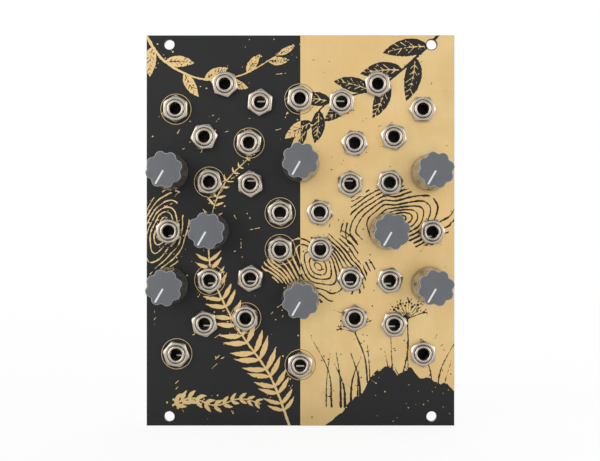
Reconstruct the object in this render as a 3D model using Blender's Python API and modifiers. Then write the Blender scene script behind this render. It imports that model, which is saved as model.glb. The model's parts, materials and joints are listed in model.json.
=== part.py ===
"""A synthesiser module for an equipment rack.

A thin panel carries thirty-two jack sockets and eight knobs, and one circuit board stands behind it on
the sockets and the potentiometers. X runs to the right, Z up, and the panel faces -Y. The origin is the
centre of the panel's rear face, the plane that the rack's two rails carry. Lengths are in metres.

Every piece is drawn in front view: its own X is right, its own Y is up and its own Z comes forward from
the panel's rear face. The piece is then stood up by a quarter turn about X.
"""

import math

import bmesh
import bpy
from mathutils import Matrix

# The gap that is left where two pieces touch, and how far a cutter runs past the face that it opens
CLEARANCE = 0.0003
CUT_OVERRUN = 0.001

# The panel, whose width and rail holes count in the rack's own unit
RACK_UNIT = 0.00508
PANEL_UNITS = 20
PANEL_SIDE_PLAY = 0.0003
PANEL_WIDTH = PANEL_UNITS * RACK_UNIT - PANEL_SIDE_PLAY
PANEL_HEIGHT = 0.1285
PANEL_THICKNESS = 0.0016
RAIL_HOLE_UNITS = 17
RAIL_HOLE_END_INSET = 0.003
RAIL_HOLE_DIAMETER = 0.0034
RAIL_HOLE_SIDES = 16

# The jack sockets: a moulded housing with a threaded bush, and the nut that holds it to the panel
JACK_BUSH_DIAMETER = 0.006
JACK_BUSH_LENGTH = 0.0045
JACK_BORE_DIAMETER = 0.0038
JACK_MOUTH_DIAMETER = 0.0046
JACK_MOUTH_DEPTH = 0.0004
JACK_NUT_ACROSS_FLATS = 0.008
JACK_NUT_THICKNESS = 0.002
JACK_HOUSING_WIDTH = 0.009
JACK_HOUSING_SHORT_REACH = 0.0045
JACK_HOUSING_LONG_REACH = 0.006
JACK_HOUSING_DEPTH = 0.0094
JACK_HOUSING_CORNER = 0.001
JACK_FLOOR_THICKNESS = 0.0008
JACK_SIDES = 10

# The potentiometers: a case with a threaded bush and its nut, and the shaft that turns in it
POT_CASE_WIDTH = 0.0098
POT_CASE_HEIGHT = 0.0114
POT_CASE_DEPTH = 0.0068
POT_CASE_CORNER = 0.0007
POT_BUSH_DIAMETER = 0.007
POT_BUSH_PROUD = 0.0003
POT_BORE_DIAMETER = 0.005
POT_NUT_ACROSS_FLATS = 0.010
POT_NUT_THICKNESS = 0.002
POT_SIDES = 10
SHAFT_DIAMETER = 0.006
SHAFT_NECK_IN_CASE = 0.004
SHAFT_END_CHAMFER = 0.0005

# A nut's top is a disc a little smaller than its flats, with a flank that slopes down to the corners
NUT_TOP_SHARE = 0.95
NUT_FLANK_SLOPE_SHARE = 0.58
NUT_BLANK_SIDES = 12

# The knobs: a round skirt that runs up into a fluted grip with a flat top and a groove for the pointer
KNOB_SKIRT_DIAMETER = 0.0122
KNOB_SKIRT_HEIGHT = 0.0012
KNOB_HEIGHT = 0.0152
KNOB_GRIP_DIAMETER = 0.0118
KNOB_GRIP_TAPER = 0.0001
KNOB_FLUTE_DEPTH = 0.0008
KNOB_FLUTE_RUN_OUT = 0.0062
KNOB_TOP_EDGE = 0.0004
KNOB_TOP_WALL = 0.0022
KNOB_COUNTERBORE_DEPTH = 0.0009
KNOB_LOBES = 8
KNOB_POINTS_A_LOBE = 6
KNOB_SCALLOP_POWER = 1.7
POINTER_WIDTH = 0.0006
POINTER_DEPTH = 0.0003
POINTER_INNER_END = 0.0004
POINTER_OUTER_END = 0.0051

# At rest every pointer stands at the anticlockwise stop, half the pot's full turn away from upright
POT_FULL_TURN = math.radians(300)
KNOB_REST_TURN = -POT_FULL_TURN / 2

# The circuit board and what stands on its rear
BOARD_SIDE_MARGIN = 0.0012
BOARD_END_MARGIN = 0.0097
BOARD_THICKNESS = 0.0016
CHIP_LENGTH = 0.0087
CHIP_WIDTH = 0.0039
CHIP_HEIGHT = 0.0017
CAPACITOR_DIAMETER = 0.0063
CAPACITOR_HEIGHT = 0.0077
CAPACITOR_SIDES = 12
HEADER_LENGTH = 0.0203
HEADER_WIDTH = 0.0088
HEADER_HEIGHT = 0.0089
HEADER_WALL = 0.0012
HEADER_FLOOR = 0.0025
HEADER_KEY_WIDTH = 0.0045
HEADER_KEY_DEPTH = 0.0058
HEADER_PIN_PITCH = 0.00254
HEADER_PIN_WIDTH = 0.00064
HEADER_PIN_LENGTH = 0.0055
HEADER_PIN_COLUMNS = 5
HEADER_PIN_ROWS = 2

# Where things stand, as shares of the panel's width and height, measured from its centre
KNOB_PLACE_SHARES = (
    (-0.423, 0.149),
    (0.000, 0.171),
    (0.420, 0.148),
    (-0.292, -0.001),
    (0.283, -0.002),
    (-0.424, -0.140),
    (0.000, -0.172),
    (0.420, -0.140),
)
JACK_PLACE_SHARES = (
    (-0.245, 0.374),
    (0.250, 0.374),
    (-0.131, 0.327),
    (0.133, 0.328),
    (-0.002, 0.337),
    (-0.405, 0.311),
    (0.396, 0.310),
    (-0.312, 0.239),
    (0.302, 0.239),
    (-0.167, 0.224),
    (0.175, 0.223),
    (-0.296, 0.124),
    (0.289, 0.122),
    (-0.163, 0.119),
    (0.161, 0.119),
    (-0.066, 0.045),
    (0.062, 0.046),
    (-0.427, -0.002),
    (0.426, -0.004),
    (-0.066, -0.049),
    (0.064, -0.048),
    (-0.295, -0.127),
    (0.289, -0.128),
    (-0.163, -0.122),
    (0.162, -0.124),
    (-0.178, -0.224),
    (0.175, -0.224),
    (-0.311, -0.238),
    (0.303, -0.240),
    (-0.402, -0.316),
    (0.397, -0.315),
    (-0.001, -0.344),
)

# Which way the long side of each jack's housing lies, as quarter turns anticlockwise from upwards
LONG_SIDE_UP, LONG_SIDE_LEFT, LONG_SIDE_DOWN, LONG_SIDE_RIGHT = range(4)
JACKS_WITH_LONG_SIDE_DOWN = (3, 4, 14, 15, 20, 21, 26, 27, 31)
JACKS_WITH_LONG_SIDE_LEFT = (10,)
JACKS_WITH_LONG_SIDE_RIGHT = (11,)

# How far each jack's nut happened to stop turning, in degrees from a corner that points right
JACK_NUT_TURNS = (
    43, 40, 25, 24, 22, 30, 0, 6, 45, 25, 50, 45, 10, 34, 30, 38,
    46, 38, 6, 32, 0, 31, 13, 24, 6, 30, 28, 40, 6, 49, 30, 28,
)  # fmt: skip

# Chips and capacitors on the board's rear, as shares of the board's width and height from its centre
CHIP_PLACE_SHARES = (
    (-0.36, 0.36),
    (-0.12, 0.36),
    (0.12, 0.36),
    (0.36, 0.36),
    (-0.36, 0.06),
    (-0.12, 0.06),
    (0.12, 0.06),
    (0.36, 0.06),
    (-0.36, -0.20),
    (0.36, -0.20),
)
CAPACITOR_PLACE_SHARES = ((-0.18, -0.36), (0.18, -0.36))
HEADER_PLACE_SHARES = (0.0, -0.36)

# Depths along each piece's own Z, worked out from what seats on what
PANEL_FRONT = PANEL_THICKNESS
JACK_HOUSING_FRONT = -CLEARANCE
JACK_HOUSING_REAR = JACK_HOUSING_FRONT - JACK_HOUSING_DEPTH
JACK_BUSH_FRONT = JACK_HOUSING_FRONT + JACK_BUSH_LENGTH
BOARD_FRONT = JACK_HOUSING_REAR - CLEARANCE
BOARD_REAR = BOARD_FRONT - BOARD_THICKNESS
POT_CASE_REAR = BOARD_FRONT + CLEARANCE
POT_CASE_FRONT = POT_CASE_REAR + POT_CASE_DEPTH
NUT_SEAT = PANEL_FRONT + CLEARANCE
POT_NUT_FRONT = NUT_SEAT + POT_NUT_THICKNESS
POT_BUSH_FRONT = POT_NUT_FRONT + POT_BUSH_PROUD
POT_BORE_FLOOR = POT_CASE_FRONT - SHAFT_NECK_IN_CASE - CLEARANCE
KNOB_BASE = POT_NUT_FRONT + CLEARANCE
KNOB_TOP = KNOB_BASE + KNOB_HEIGHT
KNOB_BORE_END = KNOB_TOP - KNOB_TOP_WALL
SHAFT_SHOULDER = POT_BUSH_FRONT + CLEARANCE
BOARD_WIDTH = PANEL_WIDTH - 2 * BOARD_SIDE_MARGIN
BOARD_HEIGHT = PANEL_HEIGHT - 2 * BOARD_END_MARGIN

# Finishes: a colour, a roughness and how metallic it is
FINISHES = {
    "panel_black": ((0.022, 0.024, 0.023, 1.0), 0.45, 0.0),
    "nickel": ((0.62, 0.58, 0.53, 1.0), 0.25, 1.0),
    "knob_grey": ((0.16, 0.17, 0.18, 1.0), 0.5, 0.0),
    "shaft_metal": ((0.7, 0.7, 0.72, 1.0), 0.35, 1.0),
    "pot_case": ((0.55, 0.56, 0.58, 1.0), 0.4, 1.0),
    "board_laminate": ((0.012, 0.013, 0.013, 1.0), 0.4, 0.0),
    "header_plastic": ((0.02, 0.02, 0.02, 1.0), 0.55, 0.0),
}


def clear_scene():
    """Removes whatever the scene holds, and the meshes and materials with it."""
    for obj in list(bpy.data.objects):
        bpy.data.objects.remove(obj, do_unlink=True)
    for mesh in list(bpy.data.meshes):
        bpy.data.meshes.remove(mesh)
    for material in list(bpy.data.materials):
        bpy.data.materials.remove(material)


def finish(name):
    """Returns the material of one finish, made at its first use."""
    found = bpy.data.materials.get(name)
    if found:
        return found
    colour, roughness, metallic = FINISHES[name]
    material = bpy.data.materials.new(name)
    material.use_nodes = True
    material.diffuse_color = colour
    shader = material.node_tree.nodes["Principled BSDF"]
    shader.inputs["Base Color"].default_value = colour
    shader.inputs["Roughness"].default_value = roughness
    shader.inputs["Metallic"].default_value = metallic
    return material


def object_from(name, form):
    """Turns a bmesh into an object that stands in the scene."""
    mesh = bpy.data.meshes.new(name)
    form.to_mesh(mesh)
    form.free()
    obj = bpy.data.objects.new(name, mesh)
    bpy.context.scene.collection.objects.link(obj)
    return obj


def add_block(form, width, height, low, high, centre_x=0.0, centre_y=0.0):
    """Adds a box to a bmesh, from one depth to another."""
    place = Matrix.Translation((centre_x, centre_y, (low + high) / 2))
    size = Matrix.Diagonal((width, height, high - low, 1))
    bmesh.ops.create_cube(form, size=1, matrix=place @ size)


def add_prism(form, sides, diameter, low, high, centre_x=0.0, centre_y=0.0, turn=0.0):
    """Adds an upright prism to a bmesh, with its corners on a circle of the diameter."""
    place = Matrix.Translation((centre_x, centre_y, (low + high) / 2))
    bmesh.ops.create_cone(
        form,
        cap_ends=True,
        segments=sides,
        radius1=diameter / 2,
        radius2=diameter / 2,
        depth=high - low,
        matrix=place @ Matrix.Rotation(turn, 4, "Z"),
    )


def bevel_upright_edges(form, amount):
    """Cuts the corners of a box along the edges that run in depth."""
    upright = [edge for edge in form.edges if edge_runs_in_depth(edge)]
    bmesh.ops.bevel(form, geom=upright, offset=amount, segments=1, affect="EDGES")


def edge_runs_in_depth(edge):
    """Tells whether an edge runs along Z more than across it."""
    run = edge.verts[1].co - edge.verts[0].co
    return abs(run.z) > abs(run.x) + abs(run.y)


def turned(name, profile, sides):
    """Turns a profile of (radius, depth) points about Z. It runs down the outer side from the axis to the axis."""
    mesh = bpy.data.meshes.new(name)
    points = [(radius, 0, depth) for radius, depth in profile]
    edges = [(at, at + 1) for at in range(len(points) - 1)]
    mesh.from_pydata(points, edges, [])
    obj = bpy.data.objects.new(name, mesh)
    bpy.context.scene.collection.objects.link(obj)
    screw = obj.modifiers.new("turn", "SCREW")
    screw.axis = "Z"
    screw.angle = math.tau
    screw.steps = sides
    screw.render_steps = sides
    screw.use_merge_vertices = True
    screw.merge_threshold = 0.00001
    settle(obj)
    return obj


def settle(obj):
    """Replaces an object's mesh by its evaluated one, so that its modifiers are done."""
    seen = obj.evaluated_get(bpy.context.evaluated_depsgraph_get())
    done = bpy.data.meshes.new_from_object(seen)
    rough = obj.data
    obj.modifiers.clear()
    obj.data = done
    bpy.data.meshes.remove(rough)


def combine(target, tool, operation):
    """Joins a tool to a target, cuts it away or keeps what both fill, and removes the tool."""
    modifier = target.modifiers.new(operation.lower(), "BOOLEAN")
    modifier.operation = operation
    modifier.solver = "EXACT"
    modifier.object = tool
    settle(target)
    mesh = tool.data
    bpy.data.objects.remove(tool, do_unlink=True)
    bpy.data.meshes.remove(mesh)


def finish_piece(obj, finish_name, collection):
    """Gives a piece its finish and smooth shading, and moves it to the object's collection."""
    obj.data.materials.clear()
    obj.data.materials.append(finish(finish_name))
    obj.data.shade_smooth()
    obj.data.set_sharp_from_angle(angle=math.radians(35))
    for holder in list(obj.users_collection):
        holder.objects.unlink(obj)
    collection.objects.link(obj)


def clear_hole(diameter, sides):
    """Returns the corner size of a many-sided hole whose flats clear a round piece of the diameter."""
    return (diameter + 2 * CLEARANCE) / math.cos(math.pi / sides)


def place_of(shares):
    """Returns X and Z of a place on the panel."""
    share_x, share_z = shares
    return share_x * PANEL_WIDTH, share_z * PANEL_HEIGHT


def stand_up(obj, centre_x=0.0, centre_z=0.0):
    """Stands a piece that is drawn in front view upright, with its own Z facing -Y."""
    obj.location = (centre_x, 0, centre_z)
    obj.rotation_euler = (math.pi / 2, 0, 0)


def across_corners(across_flats):
    """Returns a hexagon's size across its corners."""
    return across_flats / math.cos(math.pi / 6)


def hexagon_nut(name, across_flats, thickness, turn):
    """Makes a nut with a chamfered top, as the shape that a hexagon and a turned blank share."""
    form = bmesh.new()
    add_prism(form, 6, across_corners(across_flats), NUT_SEAT, NUT_SEAT + thickness, turn=turn)
    nut = object_from(name, form)
    top_radius = NUT_TOP_SHARE * across_flats / 2
    base_radius = across_flats
    flank_drop = (base_radius - top_radius) * NUT_FLANK_SLOPE_SHARE
    top = NUT_SEAT + thickness
    profile = (
        (0, top),
        (top_radius, top),
        (base_radius, top - flank_drop),
        (0, top - flank_drop - thickness),
    )
    blank = turned(name + "_blank", profile, NUT_BLANK_SIDES)
    blank.data.transform(Matrix.Rotation(turn, 4, "Z"))
    combine(nut, blank, "INTERSECT")
    return nut


def build_panel(collection):
    """The panel: one thin board with a round hole for each rail screw, jack and potentiometer."""
    form = bmesh.new()
    add_block(form, PANEL_WIDTH, PANEL_HEIGHT, 0, PANEL_FRONT)
    panel = object_from("front_panel", form)
    low, high = -CUT_OVERRUN, PANEL_FRONT + CUT_OVERRUN
    holes = bmesh.new()
    rail_x = RAIL_HOLE_UNITS * RACK_UNIT / 2
    rail_y = PANEL_HEIGHT / 2 - RAIL_HOLE_END_INSET
    for side_x in (-rail_x, rail_x):
        for side_y in (-rail_y, rail_y):
            add_prism(holes, RAIL_HOLE_SIDES, RAIL_HOLE_DIAMETER, low, high, side_x, side_y)
    jack_hole = clear_hole(JACK_BUSH_DIAMETER, JACK_SIDES)
    pot_hole = clear_hole(POT_BUSH_DIAMETER, POT_SIDES)
    for shares in JACK_PLACE_SHARES:
        add_prism(holes, JACK_SIDES, jack_hole, low, high, *place_of(shares))
    for shares in KNOB_PLACE_SHARES:
        add_prism(holes, POT_SIDES, pot_hole, low, high, *place_of(shares))
    combine(panel, object_from("panel_holes", holes), "DIFFERENCE")
    stand_up(panel)
    finish_piece(panel, "panel_black", collection)


def jack_body():
    """A jack's housing and bush, with the long side up and the bore still closed."""
    form = bmesh.new()
    height = JACK_HOUSING_LONG_REACH + JACK_HOUSING_SHORT_REACH
    offset = (JACK_HOUSING_LONG_REACH - JACK_HOUSING_SHORT_REACH) / 2
    add_block(form, JACK_HOUSING_WIDTH, height, JACK_HOUSING_REAR, JACK_HOUSING_FRONT, centre_y=offset)
    bevel_upright_edges(form, JACK_HOUSING_CORNER)
    body = object_from("jack_body", form)
    bush = bmesh.new()
    add_prism(bush, JACK_SIDES, JACK_BUSH_DIAMETER, JACK_HOUSING_FRONT - CUT_OVERRUN, JACK_BUSH_FRONT)
    combine(body, object_from("jack_bush", bush), "UNION")
    return body


def jack_bore():
    """What is cut out of a jack for the plug: a straight bore with a flared mouth."""
    mouth = JACK_MOUTH_DIAMETER / 2
    bore = JACK_BORE_DIAMETER / 2
    floor = JACK_HOUSING_REAR + JACK_FLOOR_THICKNESS
    profile = (
        (0, JACK_BUSH_FRONT + CUT_OVERRUN),
        (mouth, JACK_BUSH_FRONT + CUT_OVERRUN),
        (mouth, JACK_BUSH_FRONT),
        (bore, JACK_BUSH_FRONT - JACK_MOUTH_DEPTH),
        (bore, floor),
        (0, floor),
    )
    return turned("jack_bore", profile, JACK_SIDES)


def long_side_of(number):
    """Returns the quarter turn of one jack's housing."""
    if number in JACKS_WITH_LONG_SIDE_DOWN:
        return LONG_SIDE_DOWN
    if number in JACKS_WITH_LONG_SIDE_LEFT:
        return LONG_SIDE_LEFT
    if number in JACKS_WITH_LONG_SIDE_RIGHT:
        return LONG_SIDE_RIGHT
    return LONG_SIDE_UP


def build_jack(number, shares, nut_turn, collection):
    """One jack socket: housing, bush and nut as one solid, open along its bore."""
    jack = jack_body()
    jack.name = f"jack_{number:02d}"
    quarter = Matrix.Rotation(long_side_of(number) * math.pi / 2, 4, "Z")
    jack.data.transform(quarter)
    nut = hexagon_nut("jack_nut", JACK_NUT_ACROSS_FLATS, JACK_NUT_THICKNESS, nut_turn)
    combine(jack, nut, "UNION")
    combine(jack, jack_bore(), "DIFFERENCE")
    stand_up(jack, *place_of(shares))
    finish_piece(jack, "nickel", collection)


def build_potentiometer(number, shares, collection):
    """One potentiometer's fixed part: case, bush and nut as one solid, with a blind bore for the shaft."""
    form = bmesh.new()
    add_block(form, POT_CASE_WIDTH, POT_CASE_HEIGHT, POT_CASE_REAR, POT_CASE_FRONT)
    bevel_upright_edges(form, POT_CASE_CORNER)
    pot = object_from(f"potentiometer_{number}", form)
    bush = bmesh.new()
    add_prism(bush, POT_SIDES, POT_BUSH_DIAMETER, POT_CASE_FRONT - CUT_OVERRUN, POT_BUSH_FRONT)
    combine(pot, object_from("pot_bush", bush), "UNION")
    combine(pot, hexagon_nut("pot_nut", POT_NUT_ACROSS_FLATS, POT_NUT_THICKNESS, 0), "UNION")
    bore = bmesh.new()
    add_prism(bore, POT_SIDES, POT_BORE_DIAMETER, POT_BORE_FLOOR, POT_BUSH_FRONT + CUT_OVERRUN)
    combine(pot, object_from("pot_bore", bore), "DIFFERENCE")
    stand_up(pot, *place_of(shares))
    finish_piece(pot, "pot_case", collection)


def build_shaft(number, spindle, collection):
    """One potentiometer's shaft: a thick end that the knob grips and a neck that turns in the bush."""
    thick = SHAFT_DIAMETER / 2
    neck = POT_BORE_DIAMETER / 2 - CLEARANCE
    end = KNOB_BORE_END - CLEARANCE
    profile = (
        (0, end),
        (thick - SHAFT_END_CHAMFER, end),
        (thick, end - SHAFT_END_CHAMFER),
        (thick, SHAFT_SHOULDER),
        (neck, SHAFT_SHOULDER),
        (neck, POT_BORE_FLOOR + CLEARANCE),
        (0, POT_BORE_FLOOR + CLEARANCE),
    )
    shaft = turned(f"shaft_{number}", profile, POT_SIDES)
    finish_piece(shaft, "shaft_metal", collection)
    hang_on(shaft, spindle)


def knob_ring(form, depth, outer_radius, flute_depth):
    """Adds one ring of the knob: a circle that dips in between its lobes, with the dips narrower than the lobes."""
    count = KNOB_LOBES * KNOB_POINTS_A_LOBE
    ring = []
    for step in range(count):
        angle = math.tau * step / count
        dip = math.sin(KNOB_LOBES * angle / 2) ** 2
        radius = outer_radius - flute_depth * dip**KNOB_SCALLOP_POWER
        ring.append(form.verts.new((-radius * math.sin(angle), radius * math.cos(angle), depth)))
    return ring


def knob_solid(name):
    """A knob's outer form, lofted from the round skirt through the run-out of the flutes to the flat top."""
    skirt = KNOB_SKIRT_DIAMETER / 2
    top = KNOB_GRIP_DIAMETER / 2
    foot = top + KNOB_GRIP_TAPER
    shoulder = KNOB_BASE + KNOB_SKIRT_HEIGHT
    form = bmesh.new()
    rings = [
        knob_ring(form, KNOB_BASE, skirt, 0),
        knob_ring(form, shoulder, skirt, 0),
        knob_ring(form, shoulder + KNOB_FLUTE_RUN_OUT, foot, KNOB_FLUTE_DEPTH),
        knob_ring(form, KNOB_TOP - KNOB_TOP_EDGE, top, KNOB_FLUTE_DEPTH),
        knob_ring(form, KNOB_TOP, top - KNOB_TOP_EDGE, KNOB_FLUTE_DEPTH),
    ]
    count = len(rings[0])
    for lower, upper in zip(rings, rings[1:]):
        for at in range(count):
            after = (at + 1) % count
            form.faces.new((lower[at], lower[after], upper[after], upper[at]))
    form.faces.new(rings[-1])
    form.faces.new(reversed(rings[0]))
    return object_from(name, form)


def build_knob(number, spindle, collection):
    """One knob: the lofted grip, bored for the shaft, with a counterbore over the bush and a pointer groove."""
    knob = knob_solid(f"knob_{number}")
    bore = SHAFT_DIAMETER / 2 + CLEARANCE
    counterbore = POT_BUSH_DIAMETER / 2 + CLEARANCE
    step = KNOB_BASE + KNOB_COUNTERBORE_DEPTH
    profile = (
        (0, KNOB_BORE_END),
        (bore, KNOB_BORE_END),
        (bore, step),
        (counterbore, step),
        (counterbore, KNOB_BASE - CUT_OVERRUN),
        (0, KNOB_BASE - CUT_OVERRUN),
    )
    combine(knob, turned("knob_bore", profile, POT_SIDES), "DIFFERENCE")
    groove = bmesh.new()
    length = POINTER_OUTER_END - POINTER_INNER_END
    middle = (POINTER_OUTER_END + POINTER_INNER_END) / 2
    bottom = KNOB_TOP - POINTER_DEPTH
    add_block(groove, POINTER_WIDTH, length, bottom, KNOB_TOP + CUT_OVERRUN, centre_y=middle)
    combine(knob, object_from("pointer_groove", groove), "DIFFERENCE")
    finish_piece(knob, "knob_grey", collection)
    hang_on(knob, spindle)


def build_spindle(number, shares, collection):
    """An empty on one control's axis, turned to the anticlockwise stop, that carries its shaft and knob."""
    centre_x, centre_z = place_of(shares)
    spindle = bpy.data.objects.new(f"spindle_{number}", None)
    spindle.location = (centre_x, 0, centre_z)
    spindle.rotation_euler = (0, KNOB_REST_TURN, 0)
    collection.objects.link(spindle)
    return spindle


def hang_on(obj, spindle):
    """Stands a piece up on its spindle."""
    stand_up(obj)
    obj.parent = spindle


def build_board(collection):
    """The circuit board, with the chips and capacitors that stand on its rear."""
    form = bmesh.new()
    add_block(form, BOARD_WIDTH, BOARD_HEIGHT, BOARD_REAR, BOARD_FRONT)
    board = object_from("circuit_board", form)
    foot = BOARD_REAR + BOARD_THICKNESS / 2
    parts = bmesh.new()
    for share_x, share_y in CHIP_PLACE_SHARES:
        centre = (share_x * BOARD_WIDTH, share_y * BOARD_HEIGHT)
        add_block(parts, CHIP_LENGTH, CHIP_WIDTH, BOARD_REAR - CHIP_HEIGHT, foot, *centre)
    for share_x, share_y in CAPACITOR_PLACE_SHARES:
        centre = (share_x * BOARD_WIDTH, share_y * BOARD_HEIGHT)
        low = BOARD_REAR - CAPACITOR_HEIGHT
        add_prism(parts, CAPACITOR_SIDES, CAPACITOR_DIAMETER, low, foot, *centre)
    combine(board, object_from("board_parts", parts), "UNION")
    stand_up(board)
    finish_piece(board, "board_laminate", collection)


def build_header(collection):
    """The power header: a keyed shroud, open to the rear, with two rows of pins."""
    floor = BOARD_REAR - CLEARANCE
    rim = floor - HEADER_HEIGHT
    inner_floor = floor - HEADER_FLOOR
    share_x, share_y = HEADER_PLACE_SHARES
    form = bmesh.new()
    add_block(form, HEADER_LENGTH, HEADER_WIDTH, rim, floor)
    header = object_from("power_header", form)
    hollow = bmesh.new()
    inner_length = HEADER_LENGTH - 2 * HEADER_WALL
    inner_width = HEADER_WIDTH - 2 * HEADER_WALL
    add_block(hollow, inner_length, inner_width, rim - CUT_OVERRUN, inner_floor)
    combine(header, object_from("header_hollow", hollow), "DIFFERENCE")
    key = bmesh.new()
    key_reach = HEADER_WALL + 2 * CUT_OVERRUN
    key_y = (HEADER_WALL - HEADER_WIDTH) / 2
    key_floor = rim + HEADER_KEY_DEPTH
    add_block(key, HEADER_KEY_WIDTH, key_reach, rim - CUT_OVERRUN, key_floor, centre_y=key_y)
    combine(header, object_from("header_key", key), "DIFFERENCE")
    pins = bmesh.new()
    for column in range(HEADER_PIN_COLUMNS):
        for row in range(HEADER_PIN_ROWS):
            pin_x = (column - (HEADER_PIN_COLUMNS - 1) / 2) * HEADER_PIN_PITCH
            pin_y = (row - (HEADER_PIN_ROWS - 1) / 2) * HEADER_PIN_PITCH
            low = inner_floor - HEADER_PIN_LENGTH
            root = inner_floor + HEADER_FLOOR / 2
            add_block(pins, HEADER_PIN_WIDTH, HEADER_PIN_WIDTH, low, root, pin_x, pin_y)
    combine(header, object_from("header_pins", pins), "UNION")
    stand_up(header, share_x * BOARD_WIDTH, share_y * BOARD_HEIGHT)
    finish_piece(header, "header_plastic", collection)


def main():
    """Builds every piece of the module."""
    clear_scene()
    module = bpy.data.collections.new("rack_module")
    bpy.context.scene.collection.children.link(module)
    build_panel(module)
    for number, shares in enumerate(JACK_PLACE_SHARES, 1):
        build_jack(number, shares, math.radians(JACK_NUT_TURNS[number - 1]), module)
    for number, shares in enumerate(KNOB_PLACE_SHARES, 1):
        build_potentiometer(number, shares, module)
        spindle = build_spindle(number, shares, module)
        build_shaft(number, spindle, module)
        build_knob(number, spindle, module)
    build_board(module)
    build_header(module)


main()
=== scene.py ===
"""Looks of the synthesiser module: fine pieces, finishes, printed design, light and camera.

Every piece is drawn in front view, as (right, up, forward) in metres with forward towards the
viewer. Stood up in the frame, right is X, up is Z and forward is -Y.
"""

from __future__ import annotations

import json  # noqa: E402
import logging  # noqa: E402
import math  # noqa: E402
from dataclasses import dataclass  # noqa: E402
from enum import Enum  # noqa: E402
from typing import Iterable, Sequence  # noqa: E402

import bmesh  # noqa: E402
import bpy  # noqa: E402
import numpy as np  # noqa: E402
from mathutils import Matrix, Vector  # noqa: E402
from mathutils.geometry import delaunay_2d_cdt  # noqa: E402

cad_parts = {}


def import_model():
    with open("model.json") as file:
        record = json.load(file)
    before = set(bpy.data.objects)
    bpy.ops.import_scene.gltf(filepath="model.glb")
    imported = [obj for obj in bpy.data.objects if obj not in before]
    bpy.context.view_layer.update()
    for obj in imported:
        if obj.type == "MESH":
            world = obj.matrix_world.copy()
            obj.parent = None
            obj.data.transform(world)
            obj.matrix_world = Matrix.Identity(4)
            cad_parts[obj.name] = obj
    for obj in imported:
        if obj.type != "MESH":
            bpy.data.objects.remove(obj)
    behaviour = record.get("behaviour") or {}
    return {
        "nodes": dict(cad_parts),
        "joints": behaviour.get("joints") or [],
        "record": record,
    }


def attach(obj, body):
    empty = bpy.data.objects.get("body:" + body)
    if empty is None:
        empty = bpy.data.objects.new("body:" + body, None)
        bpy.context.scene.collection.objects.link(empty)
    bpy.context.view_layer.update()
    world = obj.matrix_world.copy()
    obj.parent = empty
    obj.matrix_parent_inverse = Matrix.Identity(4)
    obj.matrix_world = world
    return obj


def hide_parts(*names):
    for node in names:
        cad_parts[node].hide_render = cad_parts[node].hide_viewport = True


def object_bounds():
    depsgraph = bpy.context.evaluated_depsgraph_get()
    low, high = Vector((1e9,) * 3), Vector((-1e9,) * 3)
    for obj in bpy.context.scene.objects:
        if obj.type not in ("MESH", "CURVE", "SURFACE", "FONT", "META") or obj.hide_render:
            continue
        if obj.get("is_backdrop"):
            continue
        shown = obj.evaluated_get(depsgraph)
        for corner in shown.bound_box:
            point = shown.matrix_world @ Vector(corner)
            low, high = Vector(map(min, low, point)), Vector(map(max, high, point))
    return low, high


LOG = logging.getLogger("module")
MM = 0.001
CHASSIS = "chassis"

Triple = tuple[float, float, float]
Colour = Triple
Point = tuple[float, float]
Span = tuple[float, float]
Points = Sequence[Point]
Array = np.ndarray
Socket = bpy.types.NodeSocket
Mesh = bpy.types.Mesh
Form = bmesh.types.BMesh


# Materials

# Which part of a noise's values is spread over the whole range from one colour or gloss to the other
COLOUR_SPAN = (0.35, 0.65)
ROUGH_SPAN = (0.3, 0.7)

# Where a Mix node takes its two numbers and its two colours
MIX_NUMBERS = (2, 3)
MIX_COLOURS = (6, 7)

MADE: dict[str, bpy.types.Material] = {}


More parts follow.
